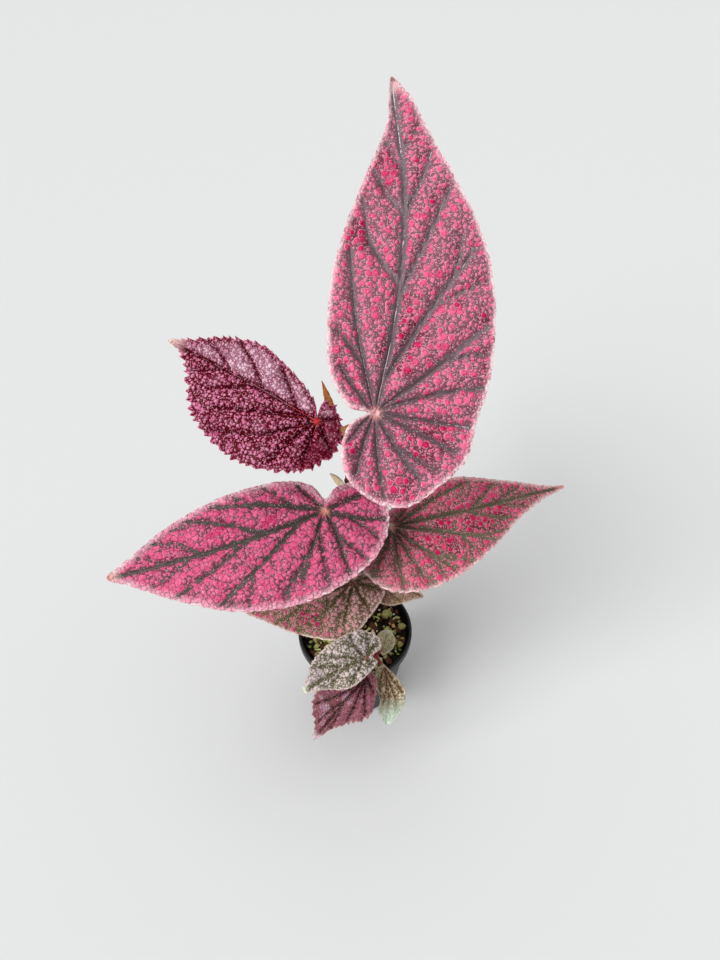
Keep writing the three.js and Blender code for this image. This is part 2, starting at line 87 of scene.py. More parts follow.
# The larger loose pieces on the mix: place, half sizes and turn. Then the share of these that each kind takes
# before its lumps, how square and how rough it is, and the grid of each.
STONES = {
    "pumice_1": ((24, -6), (4.2, 3.4, 3.0), 0.4), "pumice_2": ((22, 14), (3.6, 3.0, 2.6), 1.3),
    "pumice_3": ((-22, 10), (4.0, 3.2, 2.8), 2.2), "pumice_4": ((-14, -22), (3.8, 3.6, 2.7), 0.9),
    "bark_1": ((0, -24), (8.5, 4.0, 2.2), 0.3), "bark_2": ((-6, 24), (7.5, 3.6, 2.1), 2.6),
}
STONE_KINDS = {"bark": (0.92, 4.0, 0.10), "pumice": (0.9, 3.2, 0.14)}
STONE_ROWS, STONE_COLUMNS = 28, 40

# Each stem in millimetres: the points that it runs through, its radius at each, the heights of its nodes, how
# much it swells there, how many sides it has, its finish, its node in the CAD and its slot.
STEMS = {
    "cane_stem": dict(
        path=[(3, 3, 32), (3, 2, 66), (4, 1, 98), (2, 0, 114), (4, 2, 148), (1, 2, 172), (-2, 4, 212),
              (-2, 9, 230), (-8, 12, 243), (-9, 14, 249)],
        radii=[3.8, 3.9, 3.6, 3.5, 3.2, 3.0, 2.7, 2.6, 2.5, 1.2], heights=[98, 114, 148, 172, 212, 230, 243],
        swell=0.6, sides=28, finish="cane", node="cane", slot="cane_skin"),
    "shoot_stem": dict(
        path=[(14, -17, 40), (14, -18, 66), (15, -21, 74), (14, -25, 82), (12, -30, 90), (11, -32, 94)],
        radii=[2.4, 2.5, 2.5, 2.3, 2.0, 1.0], heights=[73, 79, 85, 90],
        swell=0.35, sides=24, finish="shoot", node="basal_shoot", slot="shoot_skin"),
}
STEM_STEPS = 200

BLADE_THICKNESS = 0.5
VEIN_STEP = 0.6  # between the points of a vein
PETIOLE_STEPS, PETIOLE_SIDES = 48, 20

# The hairs: how many to a step of the outline and to a millimetre of stalk, how many the star has on a small
# leaf, on a large one and from which length on, how long the fringe is, and the radii of the hairs of the
# fringe, the stalks and the stars.
FRINGE_HAIRS, STALK_HAIRS = 2.2, 11
FEW_STAR_HAIRS, MANY_STAR_HAIRS, LARGE_LEAF = 60, 320, 60
MARGIN_FRINGE = 0.7
FRINGE_HAIR, STALK_HAIR, STAR_HAIR = 0.05, 0.055, 0.15

# Each leaf in millimetres. attach, tip and face place the blade, outline goes once round from the tip, arch,
# fold, roll and puff bend it, soft is how far from a vein its puffing rises, and teeth is the height of its
# teeth, one to each bite of the edge. rings is how many rows of points it has from the stalk to the edge, and
# steps how many points each stretch of the outline has. Each vein is its band's half width and the points
# that it runs through. The petiole starts at start, leaves it along away and has the two radii stalk.
LEAVES = {
    "tall": dict(
        attach=(11, -19, 281), tip=(19, 103, 393), face=(0.02, -0.68, 0.74),
        outline=[(173.5, -0.5), (148.7, 0.7), (117.5, 10.5), (89, 19.4), (61, 24.6), (36, 25), (17.7, 22.8),
                 (2, 12.8), (0, 4), (-5.3, 11.8), (-18, 15.6), (-33, 11.4), (-43, -3), (-44, -17),
                 (-35, -30), (-19.5, -44.1), (-4, -47.4), (15.2, -52.7), (45, -55.2), (81.7, -50.2),
                 (111.8, -36.7), (140.5, -21.3), (165, -8.3)],
        arch=14, fold=0.2, roll=3.2, puff=2.9, soft=3.0, teeth=0.5, bite=5.5, rings=84, steps=12,
        veins=[(2.2, (0, 0), (55, -8), (110, -9), (170, -1)), (1.6, (2, 1), (41, 11), (79, 16)),
               (1.3, (2, 2), (13, 12), (22, 18)), (1.1, (24, 8), (33, 15), (39, 21)),
               (1.4, (63, -8), (83, 6), (105, 11)), (1.1, (99, -9), (110, 0), (121, 6)),
               (0.9, (124, -8), (130, -3), (137, 1)), (1.5, (56, -8), (84, -20), (112, -31)),
               (1.2, (99, -10), (116, -17), (133, -22)), (0.9, (133, -8), (140, -12), (147, -15)),
               (1.7, (14, -2), (51, -24), (84, -46)), (1.1, (54, -27), (61, -40), (67, -51)),
               (1.0, (64, -33), (78, -37), (89, -38)), (1.7, (2, -2), (24, -29), (45, -53)),
               (1.0, (26, -32), (29, -42), (30, -53)), (1.4, (2, -2), (11, -32), (14, -51)),
               (1.4, (0, -3), (-3, -25), (-5, -45)), (1.3, (-1, -3), (-10, -23), (-17, -38)),
               (1.5, (-2, -1), (-17, -11), (-31, -22)), (1.0, (-16, -11), (-21, -20), (-26, -30)),
               (1.5, (-2, 0), (-22, -2), (-40, -6)), (1.3, (-2, 1), (-15, 5), (-29, 8)),
               (1.0, (-2, 3), (-8, 8), (-14, 12))],
        start=(-2, 9, 230), away=(0.5, -0.2, 0.85), stalk=(2.0, 1.6)),
    "upper": dict(
        attach=(-19, 1, 259), tip=(-99, 40, 283), face=(-0.1, -0.65, 0.75),
        outline=[(95.5, 0), (81, -7.8), (64.6, -16.2), (46, -21.3), (31, -18.7), (15, -13.4), (5, -8),
                 (1, -3), (1.2, -10.8), (-7, -10), (-13, -3), (-17.5, 6), (-11, 22), (-0.7, 30.4), (26, 38),
                 (49, 33.4), (62, 27), (71.5, 15.7), (79, 7.5), (87.6, 1.8)],
        arch=9, fold=0.28, roll=2.0, puff=2.3, soft=2.0, teeth=1.9, bite=4.8, rings=52, steps=16,
        veins=[(0.78, (0, 0), (41, -1), (90, 0)), (0.59, (6, 1), (29, 10), (52, 20)),
               (0.59, (1, 1), (23, 21), (46, 30)), (0.52, (0, 1), (6, 15), (10, 30)),
               (0.45, (39, -1), (49, 6), (64, 14)), (0.45, (33, -1), (44, -10), (56, -17)),
               (0.39, (60, 0), (69, 5), (76, 8)), (0.39, (54, -1), (64, -7), (74, -10)),
               (0.45, (12, 0), (20, -8), (29, -15)), (0.52, (-1, 1), (-3, 13), (-5, 24)),
               (0.45, (-2, 0), (-8, 5), (-14, 9)), (0.39, (-1, -1), (-5, -4), (-9, -6))],
        start=(-8, 12, 243), away=(-0.3, -0.3, 0.9), stalk=(1.8, 1.5)),
    "left": dict(
        attach=(-16, -15, 207), tip=(-135, -46, 185), face=(-0.04, -0.48, 0.88),
        outline=[(128, -4), (114, -10), (80, -21.6), (46, -26), (13.2, -22.2), (2, -15.2), (-2.6, -6.6),
                 (-10, -11), (-24, -9), (-33, 3), (-32, 17), (-21, 32), (1, 42), (27, 45), (59, 39),
                 (87.2, 24.4), (117.3, 3.6)],
        arch=12, fold=0.2, roll=2.6, puff=2.4, soft=3.0, teeth=0.5, bite=5.5, rings=68, steps=14,
        veins=[(1.7, (0, 0), (39, 2), (78, 1), (122, -3)), (1.5, (0, -1), (29, -13), (60, -22)),
               (1.0, (0, -1), (5, -9), (10, -18)), (1.0, (15, -7), (23, -17), (30, -24)),
               (1.3, (36, 1), (57, -11), (77, -20)), (1.1, (73, 1), (85, -9), (99, -14)),
               (0.9, (96, -1), (102, -6), (108, -9)), (1.6, (14, 1), (40, 17), (68, 32)),
               (1.4, (44, 2), (67, 12), (91, 20)), (1.0, (80, 1), (91, 7), (103, 10)),
               (1.3, (1, 1), (15, 21), (34, 38)), (0.9, (13, 19), (19, 29), (25, 41)),
               (0.9, (6, 10), (8, 26), (10, 41)), (1.4, (-1, 1), (-3, 21), (-3, 39)),
               (1.3, (-1, 1), (-17, 10), (-31, 15)), (0.9, (-3, 16), (-9, 25), (-15, 33)),
               (1.2, (-1, 0), (-14, -2), (-28, -3)), (0.9, (47, 22), (51, 32), (54, 38)),
               (0.7, (57, 25), (60, 31), (64, 34)), (0.9, (18, 22), (22, 34), (25, 42)),
               (0.9, (38, -14), (43, -20), (47, -24)), (0.8, (-14, 10), (-20, 18), (-24, 24)),
               (0.7, (29, 33), (31, 38), (33, 42)), (0.7, (74, -15), (80, -17), (86, -17))],
        start=(1, 2, 172), away=(-0.5, -0.3, 0.8), stalk=(2.1, 1.6)),
    "right": dict(
        attach=(22, -8, 186), tip=(127, 20, 191), face=(0.07, -0.43, 0.9),
        outline=[(114, 3), (98.2, 6.5), (73.3, 13.7), (48.1, 20.5), (26, 20.5), (9, 16), (-1, 9), (-10, 10),
                 (-21, 0), (-25, -16), (-15, -34), (-1, -40), (27, -38), (58.8, -23.6), (78, -11),
                 (98, -2.2)],
        arch=12, fold=0.22, roll=2.2, puff=2.4, soft=2.8, teeth=0.6, bite=5.5, rings=60, steps=14,
        veins=[(1.5, (0, 0), (54, 0), (110, 3)), (1.1, (45, 0), (60, -7), (76, -11)),
               (1.4, (1, 0), (32, -11), (60, -22)), (0.9, (40, -14), (53, -17), (68, -16)),
               (1.3, (0, -1), (17, -20), (41, -31)), (1.2, (0, -2), (-2, -18), (-3, -37)),
               (1.0, (0, -2), (6, -22), (11, -37)), (1.2, (-1, -1), (-10, -14), (-20, -28)),
               (1.1, (-1, 0), (-12, -4), (-22, -9)), (1.2, (4, 1), (30, 11), (53, 17)),
               (0.9, (50, 0), (59, 6), (67, 12)), (0.7, (68, 0), (76, 5), (84, 8)),
               (1.0, (1, 1), (10, 8), (22, 17)), (0.8, (39, -15), (43, -22), (46, -27)),
               (0.8, (19, -21), (23, -27), (28, -32)), (0.7, (15, -20), (20, -28), (22, -36)),
               (0.7, (7, -25), (11, -33), (14, -37)), (0.7, (-5, -22), (-4, -28), (-3, -35)),
               (0.7, (71, -1), (80, -3), (86, -6))],
        start=(4, 2, 148), away=(0.6, -0.2, 0.75), stalk=(2.1, 1.6)),
    "low": dict(
        attach=(-1, -14, 140), tip=(-67, -27, 128), face=(-0.07, -0.5, 0.86),
        outline=[(70, -1), (56, -5), (38, -9), (20, -11), (6, -9), (1, -4), (-7, -5), (-16, 2), (-18, 10),
                 (-6, 22), (12, 32), (41, 21), (59, 8)],
        arch=7, fold=0.2, roll=1.6, puff=1.7, soft=2.4, teeth=0.4, bite=4.5, rings=44, steps=14,
        veins=[(1.2, (0, 0), (35, 2), (66, 0)), (1.1, (2, 0), (20, 12), (39, 20)),
               (1.0, (0, 1), (8, 16), (13, 29)), (1.0, (-1, 1), (-4, 12), (-6, 20)),
               (1.0, (-1, 0), (-9, 4), (-16, 8)), (0.9, (24, 1), (38, -4), (50, -5)),
               (0.9, (5, 0), (17, -6), (27, -9)), (0.9, (30, 2), (42, 9), (53, 11)),
               (0.9, (-1, 0), (-6, -1), (-12, 0)), (0.8, (17, 6), (23, 17), (27, 25)),
               (0.7, (28, 7), (37, 13), (41, 19)), (0.7, (35, 6), (44, 12), (48, 16)),
               (0.7, (5, 3), (11, 14), (16, 26))],
        start=(2, 0, 114), away=(-0.2, -0.6, 0.75), stalk=(1.8, 1.4)),
    "behind": dict(
        attach=(20, -7, 128), tip=(45, -7, 116), face=(0.38, -0.42, 0.82),
        outline=[(29, 1), (19, 5), (6, 7), (0, 2), (-5, 3), (-8, -3), (-6, -10), (4, -12), (15, -7),
                 (22, -3)],
        arch=3, fold=0.2, roll=0.6, puff=0.8, soft=2.0, teeth=0.2, bite=3.5, rings=26, steps=14,
        veins=[(0.7, (0, 0), (13, 1), (27, 1)), (0.6, (0, 0), (6, -5), (12, -7)),
               (0.6, (0, 0), (-1, -6), (0, -10)), (0.6, (0, 0), (-4, -2), (-6, -5)),
               (0.6, (1, 0), (8, 4), (13, 5))],
        start=(4, 1, 98), away=(0.5, -0.3, 0.8), stalk=(1.4, 1.1)),
    "silver": dict(
        attach=(7, -56.5, 123.5), tip=(-29, -74.5, 117), face=(0.05, -0.43, 0.9),
        outline=[(42, 0), (35, -7), (29, -13), (14, -17), (0, -17), (-7, -14), (-12, -7), (-11, -1), (-4, 1),
                 (-5, 5), (7, 10), (17, 11), (30, 5)],
        arch=5, fold=0.3, roll=0.8, puff=1.9, soft=1.6, teeth=0.5, bite=3.6, rings=36, steps=14,
        veins=[(0.63, (0, 0), (20, -1), (39, 0)), (0.49, (0, 0), (3, -9), (2, -15)),
               (0.49, (1, 0), (14, -8), (23, -13)), (0.49, (-1, 0), (-5, -6), (-7, -12)),
               (0.49, (1, 0), (8, 5), (15, 9)), (0.42, (12, 0), (22, -6), (29, -9)),
               (0.42, (14, -1), (22, 3), (29, 4)), (0.42, (-1, 0), (-6, -3), (-10, -4)),
               (0.35, (0, 1), (-1, 3), (-2, 5))],
        start=(14.5, -23.5, 79), away=(-0.7, -0.2, 0.7), stalk=(1.5, 1.1)),
    "burgundy": dict(
        attach=(7, -54, 97), tip=(-25, -81, 70), face=(-0.01, -0.7, 0.71),
        outline=[(52, 1), (45, -4), (32, -16), (20, -18), (6, -12), (0, -4), (-4, -2), (-5, 3), (3, 11),
                 (17, 17), (28, 11), (39, 5)],
        arch=5, fold=0.3, roll=1.0, puff=1.9, soft=1.8, teeth=1.3, bite=4.2, rings=36, steps=16,
        veins=[(0.9, (0, 0), (25, 0), (49, 1)), (0.83, (1, 0), (12, -8), (22, -16)),
               (0.75, (0, -1), (4, -6), (8, -11)), (0.83, (3, 0), (18, -5), (33, -13)),
               (0.83, (1, 1), (10, 8), (18, 15)), (0.68, (0, 1), (2, 6), (4, 10)),
               (0.83, (3, 1), (17, 6), (29, 9)), (0.68, (20, 0), (30, -3), (42, -4)),
               (0.68, (24, 0), (32, 3), (39, 4))],
        start=(12, -30, 90), away=(-0.3, -0.5, 0.8), stalk=(1.4, 1.1)),
    "mint": dict(
        attach=(19, -45, 92), tip=(21, -68, 63), face=(0.25, -0.75, 0.62),
        outline=[(39, 1), (32, 9), (18, 13), (7, 8), (0, 2), (-3, -1), (1, -6), (8, -7), (20, -4), (29, -5)],
        arch=3, fold=0.3, roll=0.6, puff=1.2, soft=1.6, teeth=0.7, bite=3.6, rings=32, steps=14,
        veins=[(0.68, (0, 0), (18, 2), (37, 1)), (0.51, (1, 1), (9, 6), (17, 11)),
               (0.51, (3, 0), (16, 5), (29, 8)), (0.51, (1, -1), (9, -4), (18, -4)),
               (0.42, (12, 1), (20, -1), (28, -3))],
        start=(13, -27, 85), away=(0.1, -1, 0.2), stalk=(1.3, 1.0)),
    "round": dict(
        attach=(18, -29, 86), tip=(24, -15, 89), face=(0.16, -0.28, 0.95),
        outline=[(16, 1), (12, 6), (5.9, 6.3), (0.5, 1.9), (-2, -1), (1, -4), (6, -6), (13, -4)],
        arch=1.5, fold=0.2, roll=0.3, puff=0.5, soft=1.6, teeth=0.2, bite=3.0, rings=20, steps=14,
        veins=[(0.4, (0, 0), (8, 1), (15, 1)), (0.4, (0, 1), (5, 4), (9, 6)),
               (0.4, (0, -1), (5, -3), (9, -4))],
        start=(15, -21, 73), away=(0.8, -0.1, 0.6), stalk=(1.1, 0.9)),
}

# The finish of each blade: its slot, then 0 to 255 colours: band along the veins, ground between the spots,
# the large spots from big to deep, the middle and small ones, the margin, the end at the tip and its point,
# the line on each vein and its start, and the heart over the stalk. cells are the spacings of the large,
# middle and small spots in millimetres, fill is how much of its cell a spot takes, and dust is how clear the
# finest specks between the spots are. rim is the width of the margin, veil that of the paler zone inside it,
# tip the length of the pale end, painted_crease_shade how dark the painted shade is in the veins' grooves and
# round the stalk, ridge how stout the line on a vein is, gloss the roughness and shine the strength of its
# reflections. painted_sheen is a painted highlight colour that lies over the raised parts, its share, and the
# side of the midrib that it covers, or 0. pale is a colour that the spots turn to towards the stalk, where it
# is full, where it ends and its share. shade_and_deep_zones are places and radii where the spots turn deeper
# in colour and the ground is painted dark as shade, and heat is how strong that and the wandering patches of
# it are. TONES are the colours of the upper side, and PLAIN_HEAT is the heat where none is given.
TONES = ["band", "ground", "big", "deep", "middle", "small", "margin", "end", "point", "heart"]
PLAIN_HEAT = 0.55
LOOKS = {
    "tall": dict(
        slot="blade_pink", band=(120, 104, 110), ground=(124, 72, 88), big=(236, 88, 134),
        deep=(210, 22, 92), middle=(242, 124, 162), small=(248, 182, 202), margin=(248, 220, 222),
        end=(236, 192, 194), point=(150, 104, 96), line=(224, 212, 220), start=(220, 160, 172),
        heart=(252, 190, 190), cells=(4.3, 2.6, 1.35), fill=(0.56, 0.48, 0.32), dust=0.2, rim=1.6,
        veil=3.2, tip=12, painted_crease_shade=0.45, ridge=0.17, gloss=0.4, shine=0.2, heat=0.75,
        shade_and_deep_zones=[(-12, -25, 13), (87, 14, 11), (125, 0, 9), (-34, -13, 9), (40, -14, 12), (24, -12, 8)]),
    "left": dict(
        slot="blade_pink", band=(80, 78, 72), ground=(112, 50, 68), big=(230, 92, 138),
        deep=(208, 46, 106), middle=(232, 114, 154), small=(236, 142, 178), margin=(244, 216, 220),
        end=(236, 194, 186), point=(226, 116, 110), line=(150, 124, 124), start=(100, 30, 40),
        heart=(246, 170, 154), cells=(3.9, 2.5, 1.35), fill=(0.82, 0.66, 0.36), dust=0.08, rim=1.8,
        veil=5.4, tip=10, painted_crease_shade=0.35, ridge=0.12, gloss=0.4, shine=0.2, heat=0.3),
    "right": dict(
        slot="blade_olive", band=(114, 110, 88), ground=(112, 80, 70), big=(238, 76, 124),
        deep=(212, 16, 86), middle=(240, 124, 154), small=(246, 180, 190), margin=(248, 220, 216),
        end=(232, 164, 164), point=(226, 180, 160), line=(112, 72, 66), start=(90, 38, 40),
        heart=(255, 226, 206), cells=(3.8, 2.4, 1.3), fill=(0.62, 0.54, 0.35), dust=0.15, rim=1.2,
        veil=3.4, tip=9, painted_crease_shade=0.5, ridge=0.14, gloss=0.4, shine=0.15,
        pale=((220, 150, 160), -4, 14, 0.35), heat=0.75,
        shade_and_deep_zones=[(11, -11, 7), (20, -15, 9), (32, -19, 8), (48, -8, 7), (66, -4, 8)]),
    "low": dict(
        slot="blade_olive", band=(94, 90, 54), ground=(110, 86, 60), big=(220, 90, 128),
        deep=(208, 36, 98), middle=(228, 146, 154), small=(244, 208, 200), margin=(246, 228, 216),
        end=(236, 204, 190), point=(214, 160, 140), line=(92, 66, 48), start=(104, 50, 46),
        heart=(116, 66, 60), cells=(4.0, 2.6, 1.3), fill=(0.58, 0.54, 0.36), dust=0.15, rim=0.8, veil=2.0,
        tip=5, painted_crease_shade=0.35, ridge=0.14, gloss=0.44, shine=0.12, pale=((236, 202, 196), 4, 30, 0.6),
        shade_and_deep_zones=[(31, 13, 9)]),
    "behind": dict(
        slot="blade_olive", band=(128, 102, 60), ground=(166, 126, 86), big=(248, 190, 176),
        deep=(230, 150, 138), middle=(248, 208, 186), small=(250, 224, 200), margin=(250, 238, 218),
        end=(240, 214, 182), point=(220, 174, 140), line=(136, 98, 62), start=(150, 80, 58),
        heart=(158, 98, 76), cells=(3.2, 2.0, 1.1), fill=(0.46, 0.46, 0.44), dust=0.3, rim=0.8, veil=1.6,
        tip=3, painted_crease_shade=0.2, ridge=0.14, gloss=0.46, shine=0.2),
    "upper": dict(
        slot="blade_burgundy", band=(76, 0, 14), ground=(84, 0, 18), big=(226, 122, 164),
        deep=(178, 44, 96), middle=(236, 156, 188), small=(220, 124, 160), margin=(190, 96, 122),
        end=(232, 192, 188), point=(242, 222, 198), line=(196, 140, 158), start=(244, 44, 58),
        heart=(226, 60, 66), cells=(3.3, 2.2, 1.4), fill=(0.36, 0.39, 0.36), dust=0.02, rim=0.5, veil=1.0,
        tip=13, painted_crease_shade=0.5, ridge=0.55, gloss=0.34, shine=0.05, painted_sheen=((166, 108, 130), 0.75, -1),
        pale=((150, 40, 76), -9, 4, 0.8)),
    "burgundy": dict(
        slot="blade_mauve", band=(62, 28, 24), ground=(120, 52, 72), big=(162, 92, 114),
        deep=(144, 66, 76), middle=(180, 110, 114), small=(206, 150, 152), margin=(164, 104, 106),
        end=(228, 202, 208), point=(240, 226, 232), line=(78, 32, 28), start=(114, 34, 30),
        heart=(108, 34, 30), cells=(2.8, 1.6, 0.9), fill=(0.40, 0.42, 0.38), dust=0.1, rim=0.5, veil=1.5,
        tip=7, painted_crease_shade=0.4, ridge=0.14, gloss=0.38, shine=0.25, painted_sheen=((178, 126, 156), 0.6, 0)),
    "silver": dict(
        slot="blade_silver", band=(88, 84, 52), ground=(82, 78, 42), big=(236, 218, 216),
        deep=(204, 182, 182), middle=(230, 212, 206), small=(236, 222, 210), margin=(230, 206, 198),
        end=(226, 234, 212), point=(232, 240, 220), line=(122, 104, 84), start=(196, 96, 84),
        heart=(150, 112, 92), cells=(3.2, 1.9, 1.05), fill=(0.56, 0.50, 0.38), dust=0.2, rim=0.5,
        veil=1.2, tip=5, painted_crease_shade=0.08, ridge=0.14, gloss=0.36, shine=0.32,
        painted_sheen=((184, 168, 174), 0.35, 0), pale=((208, 194, 196), 0, 15, 0.6)),
    "mint": dict(
        slot="blade_mint", band=(114, 62, 32), ground=(120, 86, 46), big=(240, 236, 198),
        deep=(196, 180, 134), middle=(228, 216, 174), small=(238, 230, 196), margin=(232, 228, 196),
        end=(224, 244, 224), point=(230, 248, 232), line=(136, 64, 44), start=(194, 76, 58),
        heart=(114, 52, 34), cells=(2.8, 1.7, 0.95), fill=(0.54, 0.50, 0.42), dust=0.24, rim=0.5,
        veil=1.4, tip=21, painted_crease_shade=0.2, ridge=0.12, gloss=0.38, shine=0.25,
        pale=((210, 178, 146), 2, 22, 0.5)),
    "round": dict(
        slot="blade_mint", band=(150, 140, 92), ground=(172, 162, 110), big=(246, 240, 204),
        deep=(210, 202, 150), middle=(232, 222, 176), small=(246, 238, 202), margin=(242, 236, 206),
        end=(240, 236, 206), point=(240, 236, 206), line=(164, 134, 96), start=(196, 100, 72),
        heart=(166, 116, 80), cells=(2.4, 1.5, 0.9), fill=(0.46, 0.50, 0.46), dust=0.3, rim=0.6, veil=1.4,
        tip=3, painted_crease_shade=0.15, ridge=0.1, gloss=0.38, shine=0.25),
}

# Each bract in millimetres: base and tip, width, cup for how deep it is hollowed, hollow for the direction
# that its hollow side faces, and sink for how far its middle lies behind the line from base to tip, as a
# share of the cup.
STIPULES = {
    "stipule_spike": dict(base=(-10, 15, 244), tip=(-17, 28, 265), width=5, cup=1.4, hollow=(0, 1, 0),
                          sink=0),
    "stipule_tan": dict(base=(-5, 9, 241.5), tip=(-2.6, 7.3, 252), width=6.4, cup=1.2, hollow=(0, 1, 0),
                        sink=0),
    "stipule_pair_a": dict(base=(-5.6, 2.7, 208.6), tip=(-11.9, 5, 218.5), width=9.5, cup=3.6,
                           hollow=(1, 0.3, 0), sink=0.6),
    "stipule_pair_b": dict(base=(0.4, 1.8, 214.5), tip=(4.5, -1.5, 225), width=5, cup=1.3, hollow=(0, 1, 0),
                           sink=0),
    "stipule_base_a": dict(base=(17.5, -20, 75), tip=(23, -20, 83), width=4, cup=1, hollow=(0, 1, 0), sink=0),
    "stipule_base_b": dict(base=(13, -21.5, 82), tip=(12, -14, 90), width=4, cup=1, hollow=(0, 1, 0), sink=0),
}
BRACT_THICKNESS = 0.28
BRACT_ROWS, BRACT_COLUMNS = 40, 25

rng = np.random.default_rng(SEED)

# ---------------------------------------------------------------- numbers and curves


def smooth(low, high, value):
    """0 below low, 1 above high, and a smooth step between them."""
    t = np.clip((value - low) / (high - low), 0, 1)
    return t * t * (3 - 2 * t)


def unit(vectors):
    """The same directions at length 1."""
    vectors = np.asarray(vectors, float)
    return vectors / np.maximum(np.linalg.norm(vectors, axis=-1, keepdims=True), 1e-9)


def spline(points, steps, closed=False):
    """A centripetal Catmull-Rom curve through the points, with steps samples to each stretch.

    Each stretch is the cubic through its two ends with slopes found from the square roots of the chords."""
    points = np.asarray(points, float)
    if closed:
        padded = np.concatenate([points[-1:], points, points[:2]])
    else:
        padded = np.concatenate([[2 * points[0] - points[1]], points, [2 * points[-1] - points[-2]]])
    before, start, end, after = padded[:-3], padded[1:-2], padded[2:-1], padded[3:]
    chord = [np.sqrt(np.linalg.norm(b - a, axis=1))[:, None] for a, b in
             ((before, start), (start, end), (end, after))]
    slope_in = ((start - before) / chord[0] - (end - before) / (chord[0] + chord[1])
                + (end - start) / chord[1]) * chord[1]
    slope_out = ((end - start) / chord[1] - (after - start) / (chord[1] + chord[2])
                 + (after - end) / chord[2]) * chord[1]
    t = (np.arange(steps) / steps)[None, :, None]
    start, end, slope_in, slope_out = (v[:, None, :] for v in (start, end, slope_in, slope_out))
    curve = (start + slope_in * t + (3 * (end - start) - 2 * slope_in - slope_out) * t ** 2
             + (2 * (start - end) + slope_in + slope_out) * t ** 3)
    curve = curve.reshape(-1, points.shape[1])
    return curve if closed else np.concatenate([curve, points[-1:]])


def resample(line, count):
    """count points evenly spaced along a polyline."""
    run = np.concatenate([[0], np.cumsum(np.linalg.norm(np.diff(line, axis=0), axis=1))])
    even = np.linspace(0, run[-1], count)
    return np.stack([np.interp(even, run, line[:, k]) for k in range(line.shape[1])], axis=1)


def wavy(x, y, z, scale, octaves=3):
    """Soft pseudo-random relief in about -1 to 1: sums of crossed sine waves, each octave twice as fine."""
    total = np.zeros(np.broadcast(x, y, z).shape)
    for k in range(octaves):
        f = scale * 2.03 ** k
        turn = 1.7 * k
        total += 0.55 ** k * (np.sin(f * x + 1.3 * np.sin(0.7 * f * y + turn) + turn)
                              * np.sin(f * y + 1.1 * np.sin(0.8 * f * z + 2 * turn))
                              + 0.5 * np.sin(f * z + 1.2 * np.sin(0.9 * f * x + turn)))
    return total / 1.6


# ---------------------------------------------------------------- meshes


class Sheets:
    """Collects grids of points in millimetres into one mesh, each with a material number and named marks."""

    def __init__(self):
        self.points, self.faces, self.numbers, self.marks, self.count = [], [], [], {}, 0

    def add(self, points, faces, number=0, **marks):
        """Adds a grid of points and its faces; a mark is one value to each point."""
        points = np.asarray(points, float).reshape(-1, 3)
        self.faces.append(np.asarray(faces) + self.count)
        self.numbers.append(np.full(len(faces), number))
        for name, values in marks.items():
            self.marks.setdefault(name, []).append((self.count, np.asarray(values, float)))
        self.points.append(points)
        self.count += len(points)

    def finish(self, name, materials, nodes=(), slot=None):
        """Makes the object, puts it on the plant's body and hides the CAD nodes that it stands for."""
        mesh = bpy.data.meshes.new(name)
        points = np.concatenate(self.points) * MM
        sizes = np.concatenate([np.full(len(f), f.shape[1]) for f in self.faces])
        corners = np.concatenate([f.ravel() for f in self.faces])
        mesh.vertices.add(len(points))
        mesh.vertices.foreach_set("co", points.astype(np.float32).ravel())
        mesh.loops.add(len(corners))
        mesh.loops.foreach_set("vertex_index", corners.astype(np.int32))
        mesh.polygons.add(len(sizes))
        mesh.polygons.foreach_set("loop_start", (np.cumsum(sizes) - sizes).astype(np.int32))
        mesh.polygons.foreach_set("material_index", np.concatenate(self.numbers).astype(np.int32))
        mesh.polygons.foreach_set("use_smooth", np.full(len(sizes), True))
        for mark, parts in self.marks.items():
            is_vector = parts[0][1].ndim == 2
            values = np.zeros((len(points), 3) if is_vector else len(points), np.float32)
            for first, part in parts:
                values[first:first + len(part)] = part
            kind = "FLOAT_VECTOR" if is_vector else "FLOAT"
            attribute = mesh.attributes.new(mark, kind, "POINT")
            attribute.data.foreach_set("vector" if is_vector else "value", values.ravel())
        mesh.update(calc_edges=True)
        join_touching(mesh)
        mesh.set_sharp_from_angle(angle=math.radians(50))
        for material in materials:
            mesh.materials.append(material)
        piece = bpy.data.objects.new(name, mesh)
        bpy.context.scene.collection.objects.link(piece)
        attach(piece, "root")
        if nodes:
            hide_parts(*nodes)
        return piece


def join_touching(mesh):
    """Joins the points that lie on each other, so that poles and seams are closed."""
    work = bmesh.new()
    work.from_mesh(mesh)
    bmesh.ops.remove_doubles(work, verts=work.verts, dist=0.0005 * MM)
    work.to_mesh(mesh)
    work.free()


def grid_faces(rows, columns, wrap=False, flip=False):
    """Four-sided faces between neighbouring points of a grid; wrap joins the last column to the first."""
    last = columns if wrap else columns - 1
    r, c = np.meshgrid(np.arange(rows - 1), np.arange(last), indexing="ij")
    n = (c + 1) % columns
    faces = np.stack([r * columns + c, r * columns + n, (r + 1) * columns + n, (r + 1) * columns + c], -1)
    faces = faces.reshape(-1, 4)
    return faces[:, ::-1] if flip else faces


def frames_along(path):
    """Tangent and two crossing directions at each point of a path, turned as little as possible."""
    tangent = unit(np.gradient(path, axis=0))
    side = unit(np.cross(tangent[0], [0.31, 0.95, 0.05]))
    sides = []
    for direction in tangent:
        side = unit(side - direction * (side @ direction))
        sides.append(side)
    sides = np.array(sides)
    return tangent, sides, np.cross(tangent, sides)


